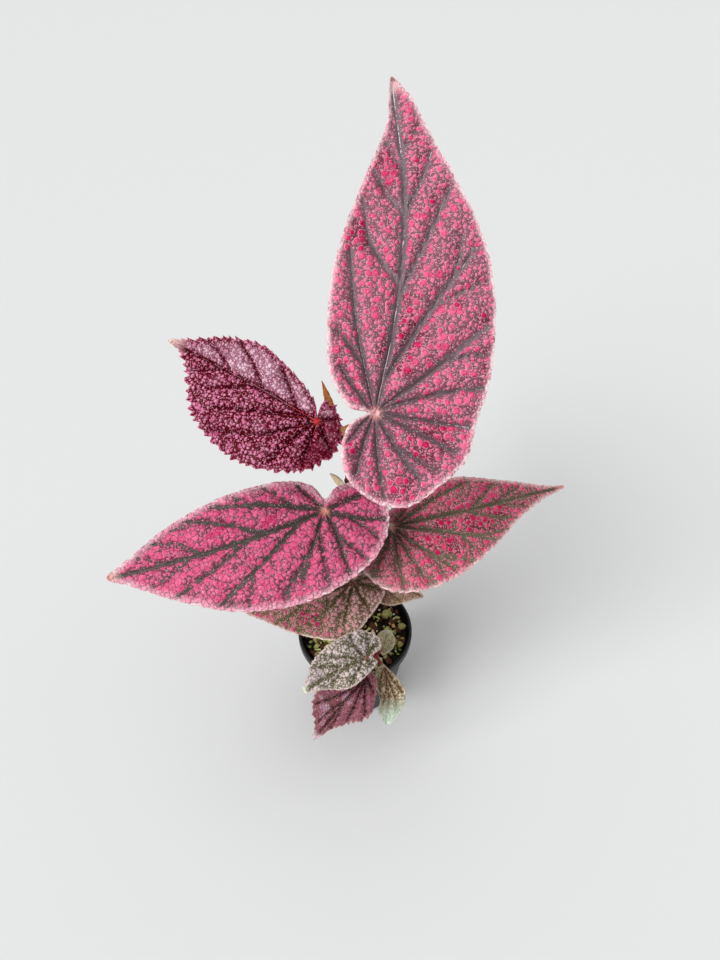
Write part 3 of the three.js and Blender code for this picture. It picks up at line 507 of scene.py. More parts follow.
def tube(path, radius, sides, lumps=0.0):
    """A round bar: point(s, a) = path(s) + radius(s) (cos a side + sin a other side), closed to a point at
    both ends. lumps roughens it. Returns the points and the faces."""
    path = np.asarray(path, float)
    count = len(path)
    radius = np.broadcast_to(radius, count).astype(float)
    _, side, other = frames_along(path)
    angle = np.arange(sides) * 2 * math.pi / sides
    cosine, sine = np.cos(angle)[None, :, None], np.sin(angle)[None, :, None]
    around = cosine * side[:, None, :] + sine * other[:, None, :]
    reach = radius[:, None] * np.ones(sides)
    if lumps:
        spot = path[:, None, :] + around * reach[..., None]
        reach = reach + lumps * wavy(spot[..., 0], spot[..., 1], spot[..., 2], 1.4)
    points = path[:, None, :] + around * reach[..., None]
    first, last = (np.repeat(path[k, None], sides, 0)[None] for k in (0, -1))
    return np.concatenate([first, points, last]).reshape(-1, 3), grid_faces(count + 2, sides, wrap=True)


def hairs(roots, directions, length, width):
    """Three-sided spikes from the roots: each is a base triangle across its direction and a point."""
    roots, directions = np.asarray(roots, float), unit(directions)
    side = unit(np.cross(directions, [0.37, 0.51, 0.78]))
    other = np.cross(directions, side)
    length, width = np.asarray(length)[..., None], np.asarray(width)[..., None]
    corners = [roots + width * (math.cos(a) * side + math.sin(a) * other)
               for a in (0, 2 * math.pi / 3, 4 * math.pi / 3)]
    points = np.stack(corners + [roots + directions * length], axis=1)
    base = np.arange(len(roots))[:, None] * 4
    faces = np.concatenate([base + [0, 1, 3], base + [1, 2, 3], base + [2, 0, 3], base + [2, 1, 0]])
    return points.reshape(-1, 3), faces


# ---------------------------------------------------------------- shading


def colour(red, green, blue):
    """A 0 to 255 colour as the shader's linear one."""
    value = np.array([red, green, blue]) / 255
    linear = np.where(value <= 0.04045, value / 12.92, ((value + 0.055) / 1.055) ** 2.4)
    return (*linear, 1.0)


def darker(tone, share):
    """A shader colour brought down to a share of its light."""
    return (*(share * v for v in tone[:3]), 1.0)


def between(a, b):
    """The shader colour halfway between two."""
    return tuple(0.5 * p + 0.5 * q for p, q in zip(a, b))


class Nodes:
    """Short calls for the nodes of a material or a node group."""

    def __init__(self, tree):
        self.tree = tree

    def make(self, kind, *inputs, output=0, **settings):
        """A node with its settings; each input is a value or a socket. Returns the output of that place."""
        node = self.tree.nodes.new(kind)
        for name, value in settings.items():
            setattr(node, name, value)
        for place, value in inputs:
            self.put(node.inputs[place], value)
        return node.outputs[output]

    def put(self, socket, value):
        """Links a socket to the input, or gives it a value."""
        if isinstance(value, bpy.types.NodeSocket):
            self.tree.links.new(value, socket)
        elif value is not None:
            socket.default_value = value

    def math(self, operation, a, b=None, c=None):
        """Arithmetic of numbers."""
        inputs = [(k, v) for k, v in enumerate((a, b, c)) if v is not None]
        return self.make("ShaderNodeMath", *inputs, operation=operation)

    def times(self, a, b):
        """The product of two numbers."""
        return self.math("MULTIPLY", a, b)

    def vector(self, operation, *values, output=0):
        """Arithmetic of vectors; output 1 is the number that a length or a distance gives."""
        return self.make("ShaderNodeVectorMath", *enumerate(values), output=output, operation=operation)

    def relief(self, shader, height, strength, depth):
        """Turns the shader's normal by a height whose full step is depth millimetres."""
        bump = self.make("ShaderNodeBump", ("Height", height), ("Strength", strength),
                         ("Distance", depth * MM))
        self.put(shader["Normal"], bump)

    def ramp(self, value, low, high, out_low=0.0, out_high=1.0):
        """A smooth step from out_low to out_high while value goes from low to high."""
        return self.make("ShaderNodeMapRange", ("Value", value), ("From Min", low), ("From Max", high),
                         ("To Min", out_low), ("To Max", out_high), interpolation_type="SMOOTHSTEP")

    def mix(self, share, a, b, blend="MIX"):
        """Colour a changed to colour b by share."""
        return self.make("ShaderNodeMix", (0, share), (6, a), (7, b), output=2, data_type="RGBA",
                         blend_type=blend)

    def noise(self, vector, scale, detail, rough=0.5):
        """Soft noise about 0.5 at a place."""
        return self.make("ShaderNodeTexNoise", ("Vector", vector), ("Scale", scale), ("Detail", detail),
                         ("Roughness", rough))

    def mark(self, name, output="Fac"):
        """A mark of the mesh, as a number or as a Vector."""
        return self.make("ShaderNodeAttribute", output=output, attribute_name=name)

    def group(self, tree, *inputs):
        """The outputs of a node group placed here."""
        node = self.tree.nodes.new("ShaderNodeGroup")
        node.node_tree = tree
        for name, value in inputs:
            self.put(node.inputs[name], value)
        return node.outputs


def new_group(name, inputs, outputs):
    """An empty node group, with the calls for its nodes, its inputs and its output sockets."""
    tree = bpy.data.node_groups.new(name, "ShaderNodeTree")
    for title, kind in inputs:
        tree.interface.new_socket(title, in_out="INPUT", socket_type="NodeSocket" + kind)
    for title, kind in outputs:
        tree.interface.new_socket(title, in_out="OUTPUT", socket_type="NodeSocket" + kind)
    entry = tree.nodes.new("NodeGroupInput")
    leave = tree.nodes.new("NodeGroupOutput")
    return tree, Nodes(tree), entry.outputs, leave.inputs


def new_material(name):
    """A material with one Principled shader, and the calls for its nodes."""
    material = bpy.data.materials.new(name)
    material.use_nodes = True
    shader = material.node_tree.nodes["Principled BSDF"]
    return material, Nodes(material.node_tree), shader.inputs


def spot_layer():
    """Round spots scattered one to a cell: a spot shows where the distance to the cell's point is under its
    own random size, which goes from Least to 1, and weaker on the line between two cells. The spots are full
    where Gap is over High and gone where it is under Low; each cell shifts its Gap by its own random part of
    its size, so that the border is ragged. Ring is the edge of each spot, Dome its height and Tone a number
    of its own."""
    tree, n, given, out = new_group(
        "leaf_spots",
        [("Place", "Vector"), ("Cell", "Float"), ("Fill", "Float"), ("Gap", "Float"), ("Low", "Float"),
         ("High", "Float"), ("Least", "Float")],
        [("Mask", "Float"), ("Ring", "Float"), ("Dome", "Float"), ("Tone", "Float")])
    rate = n.math("DIVIDE", 1.0, given["Cell"])
    cells, border = (n.tree.nodes.new("ShaderNodeTexVoronoi") for _ in range(2))
    border.feature = "DISTANCE_TO_EDGE"
    for pattern in (cells, border):
        pattern.voronoi_dimensions = "2D"
        pattern.inputs["Randomness"].default_value = 0.9
        n.put(pattern.inputs["Vector"], given["Place"])
        n.put(pattern.inputs["Scale"], rate)
    split = n.tree.nodes.new("ShaderNodeSeparateColor")
    n.put(split.inputs[0], cells.outputs["Color"])
    size = n.make("ShaderNodeMapRange", ("Value", split.outputs[0]), ("To Min", given["Least"]),
                  ("To Max", 1.0))
    part = n.times(n.math("SUBTRACT", split.outputs[2], 0.5), n.times(given["Cell"], 0.6))
    room = n.ramp(n.math("ADD", given["Gap"], part), given["Low"], given["High"])
    reach = n.times(n.times(size, given["Fill"]), room)
    gap = n.math("SUBTRACT", reach, cells.outputs["Distance"])
    web = n.ramp(border.outputs["Distance"], 0.015, 0.06)
    mask = n.times(n.ramp(gap, -0.02, 0.05), n.math("MULTIPLY_ADD", web, 0.6, 0.4))
    n.put(out["Mask"], mask)
    n.put(out["Ring"], n.times(mask, n.ramp(gap, 0.14, 0.04)))
    n.put(out["Dome"], n.times(n.ramp(gap, -0.03, 0.25), web))
    n.put(out["Tone"], split.outputs[1])
    return tree


def grain_group():
    """Two sizes of soft noise as one value about 0.5, for uneven colour and gloss."""
    tree, n, given, out = new_group("fine_grain", [("Place", "Vector"), ("Size", "Float")],
                                    [("Value", "Float")])
    rate = n.math("DIVIDE", 1.0, given["Size"])
    coarse = n.noise(given["Place"], rate, 2.0)
    fine = n.noise(given["Place"], n.times(rate, 7.0), 3.0)
    n.put(out["Value"], n.math("MULTIPLY_ADD", fine, 0.4, n.times(coarse, 0.6)))
    return tree


SPOTS = spot_layer()
GRAIN = grain_group()


def blade_fields(n, leaf, look):
    """What the upper side's colours depend on: the place on the leaf, how far it is from the veins, the
    margin and the stalk, made uneven by noise, deepest, which is 1 in the listed areas and the
    wandering patches where the spots turn deeper in colour and the ground is painted dark as shade, and heat,
    which is how strong these are."""
    at = SimpleNamespace(end=leaf["outline"][0][0], heat=look.get("heat", PLAIN_HEAT))
    at.place = n.mark("place", "Vector")
    at.centre_gap = n.mark("centre_gap")
    at.edge_gap = n.mark("edge_gap")
    at.fine = n.math("SUBTRACT", n.noise(at.place, 1.1, 3.0, 0.6), 0.5)
    at.mid = n.noise(at.place, 0.4, 1.0)
    stray = n.make("ShaderNodeTexNoise", ("Vector", at.place), ("Scale", 0.9), ("Detail", 2.0), output=1)
    at.uneven = n.vector("MULTIPLY_ADD", stray, (0.9, 0.9, 0.0), at.place)
    vein_gap = n.math("ADD", n.mark("vein_gap"), n.ramp(at.mid, 0.3, 0.7, -0.5, 0.5))
    at.ragged = n.math("MULTIPLY_ADD", at.fine, 2.6, vein_gap)
    at.rim_edge = n.math("MULTIPLY_ADD", at.fine, 2.4, at.edge_gap)
    at.far = n.vector("LENGTH", at.place, output=1)
    at.along = n.make("ShaderNodeSeparateXYZ", ("Vector", at.place))
    # Where this is 1 the spots turn deeper in colour and the ground is painted dark, as shade: first in
    # wandering patches, then in the listed areas.
    at.deepest = n.ramp(n.noise(at.place, 0.05, 2.0), 0.57, 0.7)
    for x, y, radius in look.get("shade_and_deep_zones", ()):
        gap = n.math("MULTIPLY_ADD", at.fine, 6.0, n.vector("DISTANCE", at.uneven, (x, y, 0), output=1))
        at.deepest = n.math("MAXIMUM", at.deepest, n.ramp(gap, radius, 0.5 * radius))
    return at


def blade_spots(n, look, at):
    """The layers of spots from the largest to the finest, with small pale dots that are painted highlights
    and the dark ticks of the margin. A layer's row is its cell, its fill, the gap that ends it from low to
    high, its shift and its least spot."""
    wide, close, tiny = look["cells"]
    wide_fill, close_fill, tiny_fill = look["fill"]
    drift = n.ramp(n.noise(at.place, 0.11, 1.0), 0.35, 0.65, 0.75 * wide_fill, 1.15 * wide_fill)
    rows = {"big": (wide, drift, at.ragged, 0.0, 0.9, 0, 0.25),
            "middle": (close, close_fill, at.ragged, -0.3, 0.5, 31, 0.25),
            "small": (tiny, tiny_fill, at.ragged, -1.0, 0.1, 57, 0.25),
            "dust": (0.62, 0.38, at.ragged, -3.0, 0.6, 83, 0.25),
            # Small pale dots that are painted highlights.
            "painted_glint": (1.2, 0.24, 9.0, 0.0, 1.0, 113, -1.8),
            "tick": (0.8, 0.5, at.edge_gap, 0.15, 2.0 * look["rim"], 149, -0.2)}
    layers = {}
    for name, (cell, fill, gap, low, high, shift, least) in rows.items():
        moved = n.vector("ADD", at.uneven, (shift, 1.7 * shift, 0))
        layers[name] = n.group(SPOTS, ("Place", moved), ("Cell", cell), ("Fill", fill), ("Gap", gap),
                               ("Low", low), ("High", high), ("Least", least))
    return layers


def painted_highlight_cover(n, look, at):
    """How far the leaf's painted highlight covers each point: clouds on the raised parts between the veins,
    or the raised parts on one side of the midrib, the half that catches the light.
    """
    _, share, side = look["painted_sheen"]
    across = n.make("ShaderNodeSeparateXYZ", ("Vector", at.place), output=1)
    cloud = n.ramp(n.noise(at.place, 0.09, 2.0), 0.53, 0.66)
    if side:
        half = n.ramp(n.math("MULTIPLY_ADD", across, side, n.times(at.fine, 3.0)), 0.3, 4.0)
        half = n.times(half, n.ramp(n.noise(at.place, 0.12, 2.0), 0.36, 0.5, 0.45, 1.0))
        cloud = n.math("MAXIMUM", n.times(cloud, 0.3), half)
    inside = n.times(n.ramp(at.centre_gap, 0.1, 2.2), n.ramp(at.rim_edge, 0.8, 4.5))
    return n.times(n.times(cloud, inside), share)


def ground_shade(n, look, paint, at, layers, fade):
    """The colour under the spots: bands along the veins, the ground, painted dark as shade where the spots
    turn deeper, painted shade in the grooves along the veins, specks, and the pale margin with its dark
    ticks."""
    # Painted shade: in the deeper areas and patches the ground turns to a very dark tone of the deep colour.
    ground = n.mix(n.times(at.deepest, at.heat), paint["ground"], darker(paint["deep"], 0.22))
    ground = n.mix(n.times(fade, 0.75), ground, paint["veil"])
    shade = n.mix(n.ramp(at.ragged, -0.3, 0.6), paint["band"], ground)
    # Painted shade in the grooves: the colour darkens towards each vein's centre line.
    dark = n.mix(1.0, shade, (0.40, 0.28, 0.32, 1.0), "MULTIPLY")
    shade = n.mix(n.ramp(at.centre_gap, 0.1, 1.4, 0.4 * look["painted_crease_shade"], 0.0), shade, dark)
    shade = n.mix(n.times(layers["dust"]["Mask"], look["dust"]), shade, paint["small"])
    margin = n.ramp(at.rim_edge, look["rim"] * 1.1, look["rim"] * 0.4, 0.0, 0.9)
    margin = n.times(margin, n.math("MULTIPLY_ADD", layers["tick"]["Mask"], -0.8, 1.0))
    return n.mix(margin, shade, paint["margin"])


def spot_shade(n, look, paint, at, layers, fade):
    """The colour of the spots: each large one between big and deep by its own number and the heat, paler on
    its ring, the middle ones between that and theirs, and all of them fading towards the margin and the
    stalk."""
    big, middle = layers["big"], layers["middle"]
    depth = n.math("MULTIPLY_ADD", big["Tone"], 0.3, n.times(at.deepest, at.heat * 1.4))
    hot = n.mix(n.ramp(depth, 0.1, 0.75), paint["big"], paint["deep"])
    hot = n.mix(n.ramp(big["Tone"], 0.5, 0.0, 0.0, 0.4), hot, paint["middle"])
    warm = n.mix(n.ramp(middle["Tone"], 0.3, 0.9, 0.1, 0.7), paint["middle"], hot)
    warm = n.mix(n.times(middle["Ring"], 0.45), warm, paint["small"])
    hot = n.mix(n.times(big["Ring"], 0.5), hot, paint["small"])
    spot = n.mix(big["Mask"], n.mix(middle["Mask"], paint["small"], warm), hot)
    if "pale" in look:
        tone, full, none, share = look["pale"]
        towards = n.ramp(n.math("MULTIPLY_ADD", at.fine, 12.0, at.along), none, full, 0.0, share)
        spot = n.mix(towards, spot, colour(*tone))
    return n.mix(fade, spot, paint["veil"])


def end_shade(n, look, paint, at, shade):
    """The colour with painted shade in the grooves round the stalk, the pale tip and its point, the skin of
    the very edge and the heart over the stalk."""
    # Painted shade: the funnel round the stalk is darkened near the veins, as if in shadow.
    hollow = n.times(n.ramp(at.centre_gap, 2.8, 0.3), n.ramp(at.far, 0.4 * at.end, 0.08 * at.end))
    gloom = n.mix(1.0, shade, (0.50, 0.26, 0.34, 1.0), "MULTIPLY")
    shade = n.mix(n.times(hollow, look["painted_crease_shade"]), shade, gloom)
    along = n.math("MULTIPLY_ADD", at.fine, 6.0, at.along)
    tip = n.ramp(along, at.end - look["tip"], at.end - 0.2 * look["tip"], 0.0, 0.85)
    shade = n.mix(tip, shade, paint["end"])
    shade = n.mix(n.ramp(at.along, at.end - 3.5, at.end - 0.8, 0.0, 0.85), shade, paint["point"])
    skin = n.mix(0.45, paint["margin"], colour(200, 128, 112))
    shade = n.mix(n.ramp(at.edge_gap, 0.4, 0.1, 0.0, 0.6), shade, skin)
    heart = n.ramp(n.math("MULTIPLY_ADD", at.fine, 4.0, at.far), 0.7 + 0.022 * at.end, 0.3, 0.0, 0.9)
    return n.mix(heart, shade, paint["heart"])


def blade_material(name, leaf, look):
    """The upper side of a blade: clear bands along the veins, and between them a dark ground with spots of
    several sizes that stand up as blisters, pale specks, a pale margin with dark ticks and a pale tip.
    Painted shade darkens the grooves and the deeper areas, some leaves have a painted highlight over their
    raised parts, and small pale dots are painted highlights."""
    material, n, shader = new_material("blade_" + name)
    paint = {key: colour(*look[key]) for key in TONES}
    paint["veil"] = between(paint["margin"], paint["small"])
    at = blade_fields(n, leaf, look)
    layers = blade_spots(n, look, at)
    big, middle, small = (layers[name] for name in ("big", "middle", "small"))
    fade = n.times(n.ramp(at.rim_edge, look["veil"], look["rim"] * 0.5, 0.0, 0.8),
                   n.ramp(at.mid, 0.3, 0.62, 0.55, 1.0))
    shade = ground_shade(n, look, paint, at, layers, fade)
    spot = spot_shade(n, look, paint, at, layers, fade)
    # Painted highlight: a paler colour laid over the ground where the leaf would catch the light, and the
    # spots under it made paler too.
    if "painted_sheen" in look:
        painted_highlight_share = painted_highlight_cover(n, look, at)
        shade = n.mix(painted_highlight_share, shade, colour(*look["painted_sheen"][0]))
        spot = n.mix(n.times(painted_highlight_share, 1.1), spot, colour(244, 208, 224))
    cover = n.math("MAXIMUM", n.times(small["Mask"], 0.8), n.times(middle["Mask"], 0.94))
    shade = n.mix(n.math("MAXIMUM", cover, big["Mask"]), shade, spot)
    shade = end_shade(n, look, paint, at, shade)
    grain = n.group(GRAIN, ("Place", at.place), ("Size", 2.4))["Value"]
    grey = n.make("ShaderNodeCombineColor", (0, grain), (1, grain), (2, grain))
    shade = n.mix(0.35, shade, grey, "SOFT_LIGHT")
    # Painted highlights: small pale dots laid over the colour.
    shade = n.mix(n.times(layers["painted_glint"]["Mask"], 0.5), shade, colour(236, 222, 226))
    n.put(shader["Base Color"], shade)
    n.put(shader["Roughness"], n.ramp(grain, 0.3, 0.7, look["gloss"] - 0.08, look["gloss"] + 0.1))
    shader["Specular IOR Level"].default_value = look["shine"]
    height = n.math("MULTIPLY_ADD", big["Dome"], 1.2, n.times(middle["Dome"], 0.8))
    height = n.math("MULTIPLY_ADD", small["Dome"], 0.5, height)
    n.relief(shader, n.math("MULTIPLY_ADD", grain, 0.6, height), 1.0, 0.6)
    return material


def line_material(name, look):
    """The raised line on each vein: red where it leaves the stalk, then the leaf's own colour, with knots."""
    material, n, shader = new_material("line_" + name)
    place = n.mark("place", "Vector")
    far = n.vector("LENGTH", place, output=1)
    grain = n.group(GRAIN, ("Place", place), ("Size", 1.6))["Value"]
    shade = n.mix(n.ramp(far, 6.0, 28.0), colour(*look["start"]), colour(*look["line"]))
    shade = n.mix(n.ramp(grain, 0.46, 0.66, 0.0, 0.45), shade, darker(colour(*look["band"]), 0.6))
    n.put(shader["Base Color"], shade)
    shader["Roughness"].default_value = 0.4
    n.relief(shader, grain, 0.5, 0.1)
    return material


def back_material(name, look):
    """The underside of a blade: wine red, greener between the veins, with a soft bloom."""
    material, n, shader = new_material("back_" + name)
    place = n.mark("place", "Vector")
    gap = n.mark("vein_gap")
    grain = n.group(GRAIN, ("Place", place), ("Size", 2.2))["Value"]
    wine, green = colour(128, 44, 62), colour(126, 104, 84)
    shade = n.mix(n.ramp(gap, -0.5, 3.0), wine, between(green, colour(*look["ground"])))
    shade = n.mix(n.ramp(grain, 0.35, 0.7), shade, darker(wine, 0.72))
    n.put(shader["Base Color"], shade)
    shader["Roughness"].default_value = 0.62
    n.relief(shader, grain, 0.5, 0.2)
    return material


def plain_material(name, main, other, size, roughness, bump, extra=None, scale=(1, 1, 1), shine=0.5):
    """A finish whose colour wanders from main to other in patches of the given size in millimetres, with a
    matching fine relief. extra is the colour, the spacing and the fill of specks on it, scale stretches the
    pattern, and shine is the strength of the reflections."""
    material, n, shader = new_material(name)
    shader["Specular IOR Level"].default_value = shine
    place = n.make("ShaderNodeTexCoord", output="Object")
    place = n.make("ShaderNodeMapping", ("Vector", place), ("Scale", tuple(s / MM for s in scale)))
    grain = n.group(GRAIN, ("Place", place), ("Size", size))["Value"]
    shade = n.mix(n.ramp(grain, 0.36, 0.64), colour(*main), colour(*other))
    if extra:
        tone, cell, fill = extra
        speck = n.group(SPOTS, ("Place", place), ("Cell", cell), ("Fill", fill), ("Gap", 9.0), ("Low", 0.0),
                        ("High", 1.0), ("Least", -0.6))
        shade = n.mix(speck["Mask"], shade, colour(*tone))
    n.put(shader["Base Color"], shade)
    n.put(shader["Roughness"], n.ramp(grain, 0.3, 0.7, roughness - 0.08, roughness + 0.08))
    n.relief(shader, grain, 0.6, bump)
    return material


def let_light_in(material):
    """Lets a little light through a thin dry skin."""
    skin = material.node_tree.nodes["Principled BSDF"].inputs
    skin["Subsurface Weight"].default_value = 0.5
    skin["Subsurface Radius"].default_value = (1.0, 0.9, 0.8)
    skin["Subsurface Scale"].default_value = 0.8 * MM


# ---------------------------------------------------------------- camera, light and floor


def make_camera():
    """The camera, with the photo's angle of view; it looks straight ahead and down."""
    data = bpy.data.cameras.new("camera")
    data.sensor_width = SENSOR
    data.lens = SENSOR * FOCAL_PIXELS / PHOTO_HEIGHT
    data.clip_start, data.clip_end = 0.01, 50
    camera = bpy.data.objects.new("camera", data)
    camera.location = [v * MM for v in CAMERA_PLACE]
    camera.rotation_euler = (math.radians(90 - CAMERA_PITCH), 0, 0)
    bpy.context.scene.collection.objects.link(camera)
    bpy.context.scene.camera = camera


def make_light():
    """A pale even room, a broad soft window light from the front left and a weak one from above."""
    world = bpy.data.worlds.new("room")
    world.use_nodes = True
    sky = world.node_tree.nodes["Background"].inputs
    sky["Color"].default_value = (1.0, 1.0, 1.0, 1.0)
    sky["Strength"].default_value = ROOM_LIGHT
    bpy.context.scene.world = world
    for name, (source, strength, spread) in LIGHTS.items():
        data = bpy.data.lights.new(name, "SUN")
        data.energy = strength
        data.angle = math.radians(spread)
        lamp = bpy.data.objects.new(name, data)
        lamp.rotation_euler = Vector(source).to_track_quat("Z", "Y").to_euler()
        bpy.context.scene.collection.objects.link(lamp)
    bpy.context.scene.view_settings.view_transform = "Standard"


def make_floor():
    """A plain pale floor, level with the pot's base."""
    mesh = bpy.data.meshes.new("floor")
    corners = [(x * FLOOR_HALF, y * FLOOR_HALF, 0) for x, y in ((-1, -1), (1, -1), (1, 1), (-1, 1))]
    mesh.from_pydata(corners, [], [(0, 1, 2, 3)])
    floor = bpy.data.objects.new("floor", mesh)
    bpy.context.scene.collection.objects.link(floor)
    material, _, shader = new_material("pale_floor")
    shader["Base Color"].default_value = colour(*FLOOR_TONE)
    shader["Roughness"].default_value = 0.8
    mesh.materials.append(material)


# ---------------------------------------------------------------- leaves

# The numbers of a blade's materials, and the sides of the bars on its veins.
UPPER, UNDER, LINE, RIB, STAR, FRINGE = range(6)
LINE_SIDES, RIB_SIDES = 5, 7


def leaf_axes(leaf):
    """The leaf's origin and its x, y and z directions: to the tip, to the left and out of the upper side."""
    origin = np.array(leaf["attach"], float)
    along = unit(np.array(leaf["tip"], float) - origin)
    up = np.array(leaf["face"], float)
    up = unit(up - along * (up @ along))
    return origin, along, np.cross(up, along), up


def place_on_leaf(leaf, x, y, lift):
    """World points, in millimetres, of leaf points x, y at a height over the leaf's plane."""
    origin, along, left, up = leaf_axes(leaf)
    return origin + x[..., None] * along + y[..., None] * left + lift[..., None] * up


def blade_height(leaf, x, y, ring, swell):
    """z = fold (sqrt(y^2 + 25) - 5) - arch sign(x) (x/length)^2 - 2 roll (y/width)^2
    + puff (swell - 0.35 ring^1.5), where swell is 0 on a vein and grows away from it, and ring goes from 0 at
    the attach point to 1 at the outline."""
    length = leaf["outline"][0][0]
    width = max(abs(p[1]) for p in leaf["outline"])
    return (-leaf["arch"] * np.sign(x) * (x / length) ** 2 + leaf["fold"] * (np.hypot(y, 5) - 5)
            - 2 * leaf["roll"] * (y / width) ** 2 + leaf["puff"] * (swell - 0.35 * ring ** 1.5))


def vein_lines(leaf):
    """Each vein as points in the leaf's plane, about VEIN_STEP apart, and its band's half width at each."""
    lines = []
    for width, *points in leaf["veins"]:
        line = spline(points, 24)
        length = np.linalg.norm(np.diff(line, axis=0), axis=1).sum()
        line = resample(line, max(8, int(length / VEIN_STEP)))
        lines.append((line, width * np.linspace(1.0, 0.72, len(line))))
    return lines


def nearest_gap(x, y, samples, widths):
    """Distance from each point to the nearest sample, less that sample's width. The points go in batches, to
    save room."""
    batch = 4000
    flat = np.stack([x.ravel(), y.ravel()], axis=1)
    gaps = np.empty(len(flat))
    for first in range(0, len(flat), batch):
        part = flat[first:first + batch]
        far = np.hypot(part[:, :1] - samples[None, :, 0], part[:, 1:] - samples[None, :, 1])
        gaps[first:first + batch] = (far - widths[None, :]).min(axis=1)
    return gaps.reshape(x.shape)


def tooth_wave(run, total, bite):
    """Teeth along the edge, from -1 to 1 over a run in millimetres: each rises slowly and drops fast towards
    the tip, which is where the run starts and ends, and their sizes and widths wander."""
    count = round(total / bite)
    phase = run / total * count + 0.22 * np.sin(run * 0.9 / bite) + 0.15 * np.sin(run * 2.3 / bite + 1)
    part = phase - np.floor(phase)
    part = np.where(run < total / 2, 1 - part, part)
    rise = np.where(part < 0.7, 1 - 2 * part / 0.7, -1 + 2 * (part - 0.7) / 0.3)
    size = 0.8 + 0.4 * np.sin(2.4 * np.floor(phase) + 1.0)
    small = np.abs(np.mod(phase * 3 + 0.3, 1.0) - 0.5) * 4 - 1
    return rise * size + 0.22 * small


def toothed_outline(leaf):
    """The outline as a closed curve, and how far its teeth move each point out, as a share of its distance
    from the attach point."""
    outline = spline(leaf["outline"], leaf["steps"], closed=True)
    reach = np.hypot(outline[:, 0], outline[:, 1])
    chord = np.linalg.norm(np.roll(outline, -1, axis=0) - outline, axis=1)
    run = np.cumsum(chord) - chord
    tooth = leaf["teeth"] * tooth_wave(run, chord.sum(), leaf["bite"]) * smooth(3, 12, reach)
    tooth *= smooth(0, 5, np.minimum(run, chord.sum() - run))
    return outline, tooth / reach


def add_faces(sheets, leaf, outline, tooth, lines):
    """Both faces of the blade in rings from the attach point to the outline, and the edge between them. The
    blade swells with 1 - exp(-gap / soft) between the veins and is waved towards its edge. Returns the points
    of the upper face."""
    columns = len(outline)
    ring = (np.linspace(0, 1, leaf["rings"]) ** 0.9)[:, None]
    scale = ring * (1 + tooth * smooth(0.86, 1.0, ring) ** 2)
    x, y = outline[:, 0] * scale, outline[:, 1] * scale
    samples = np.concatenate([line for line, _ in lines])
    widths = np.concatenate([width for _, width in lines])
    centre_gap = nearest_gap(x, y, samples, 0 * widths)
    swell = 1.6 * (1 - np.exp(-centre_gap / leaf["soft"])) * (1 - 0.45 * ring ** 6)
    stretch = np.arange(columns) / leaf["steps"]
    ripple = 0.5 * np.sin(stretch * 4.1 + 1.0) + 0.4 * np.sin(stretch * 9.3)
    lift = blade_height(leaf, x, y, ring, swell) + 0.25 * leaf["puff"] * ripple * ring ** 5
    edge = outline * (1 + tooth)[:, None]
    marks = dict(
        place=np.stack([x, y, 0 * x], -1).reshape(-1, 3),
        vein_gap=nearest_gap(x, y, samples, widths).ravel(),
        centre_gap=centre_gap.ravel(),
        edge_gap=nearest_gap(x, y, edge, np.zeros(columns)).ravel())
    next_x, next_y = np.roll(outline, -1, axis=0).T
    is_clockwise = np.sum(outline[:, 0] * next_y - outline[:, 1] * next_x) < 0
    faces = grid_faces(leaf["rings"], columns, wrap=True, flip=not is_clockwise)
    top = place_on_leaf(leaf, x, y, lift + BLADE_THICKNESS / 2)
    under = place_on_leaf(leaf, x, y, lift - BLADE_THICKNESS / 2)
    sheets.add(top, faces, UPPER, **marks)
    sheets.add(under, faces[:, ::-1], UNDER, **marks)
    far = np.full(2 * columns, 3.0)
    rim_marks = dict(place=np.tile(marks["place"][-columns:], (2, 1)), vein_gap=far, centre_gap=far,
                     edge_gap=0 * far)
    rim_faces = grid_faces(2, columns, wrap=True, flip=not is_clockwise)
    sheets.add(np.stack([top[-1], under[-1]]), rim_faces, UPPER, **rim_marks)
    return top


def add_ribs(sheets, leaf, outline, lines, ridge):
    """On each vein a thin raised line above the blade and a stouter rib below it."""
    reach = np.hypot(outline[:, 0], outline[:, 1])
    angle = np.unwrap(np.arctan2(outline[:, 1], outline[:, 0]))
    order = np.argsort(angle)
    half = BLADE_THICKNESS / 2
    up = leaf_axes(leaf)[3]
    for line, width in lines:
        x, y = line.T
        turn = angle.min() + np.mod(np.arctan2(y, x) - angle.min(), 2 * math.pi)
        share = np.clip(np.hypot(x, y) / np.interp(turn, angle[order], reach[order]), 0, 1)
        spine = blade_height(leaf, x, y, share, 0.0)
        rib = (0.12 + 0.4 * width)[::2]
        above = place_on_leaf(leaf, x, y, spine + half * 0.95)[::2]
        below = place_on_leaf(leaf, x, y, spine - half)[::2] - up * rib[:, None] * 0.6
        flat = np.stack([x[::2], y[::2], 0 * x[::2]], -1)
        flat = np.concatenate([flat[:1], flat, flat[-1:]])
        points, quads = tube(above, (0.08 + ridge * width)[::2], LINE_SIDES)
        sheets.add(points, quads, LINE, place=np.repeat(flat, LINE_SIDES, axis=0))
        sheets.add(*tube(below, rib, RIB_SIDES), RIB)


def add_star(sheets, leaf, size):
    """The star of hairs over the petiole, smaller on a small leaf."""
    count = MANY_STAR_HAIRS if size > LARGE_LEAF else FEW_STAR_HAIRS
    turn = rng.uniform(0, 2 * math.pi, count)
    far = rng.uniform(0, 2.0, count) * min(1, size / 100)
    lean = rng.uniform(0.1, 0.5, count)
    origin, along, left, up = leaf_axes(leaf)
    heading = np.cos(turn)[:, None] * along + np.sin(turn)[:, None] * left
    roots = origin + heading * far[:, None] + up * (0.4 * BLADE_THICKNESS)
    length = rng.uniform(1.0, 4.4, count) * min(1, size / 120)
    sheets.add(*hairs(roots, heading + up * lean[:, None], length, np.full(count, STAR_HAIR)), STAR)


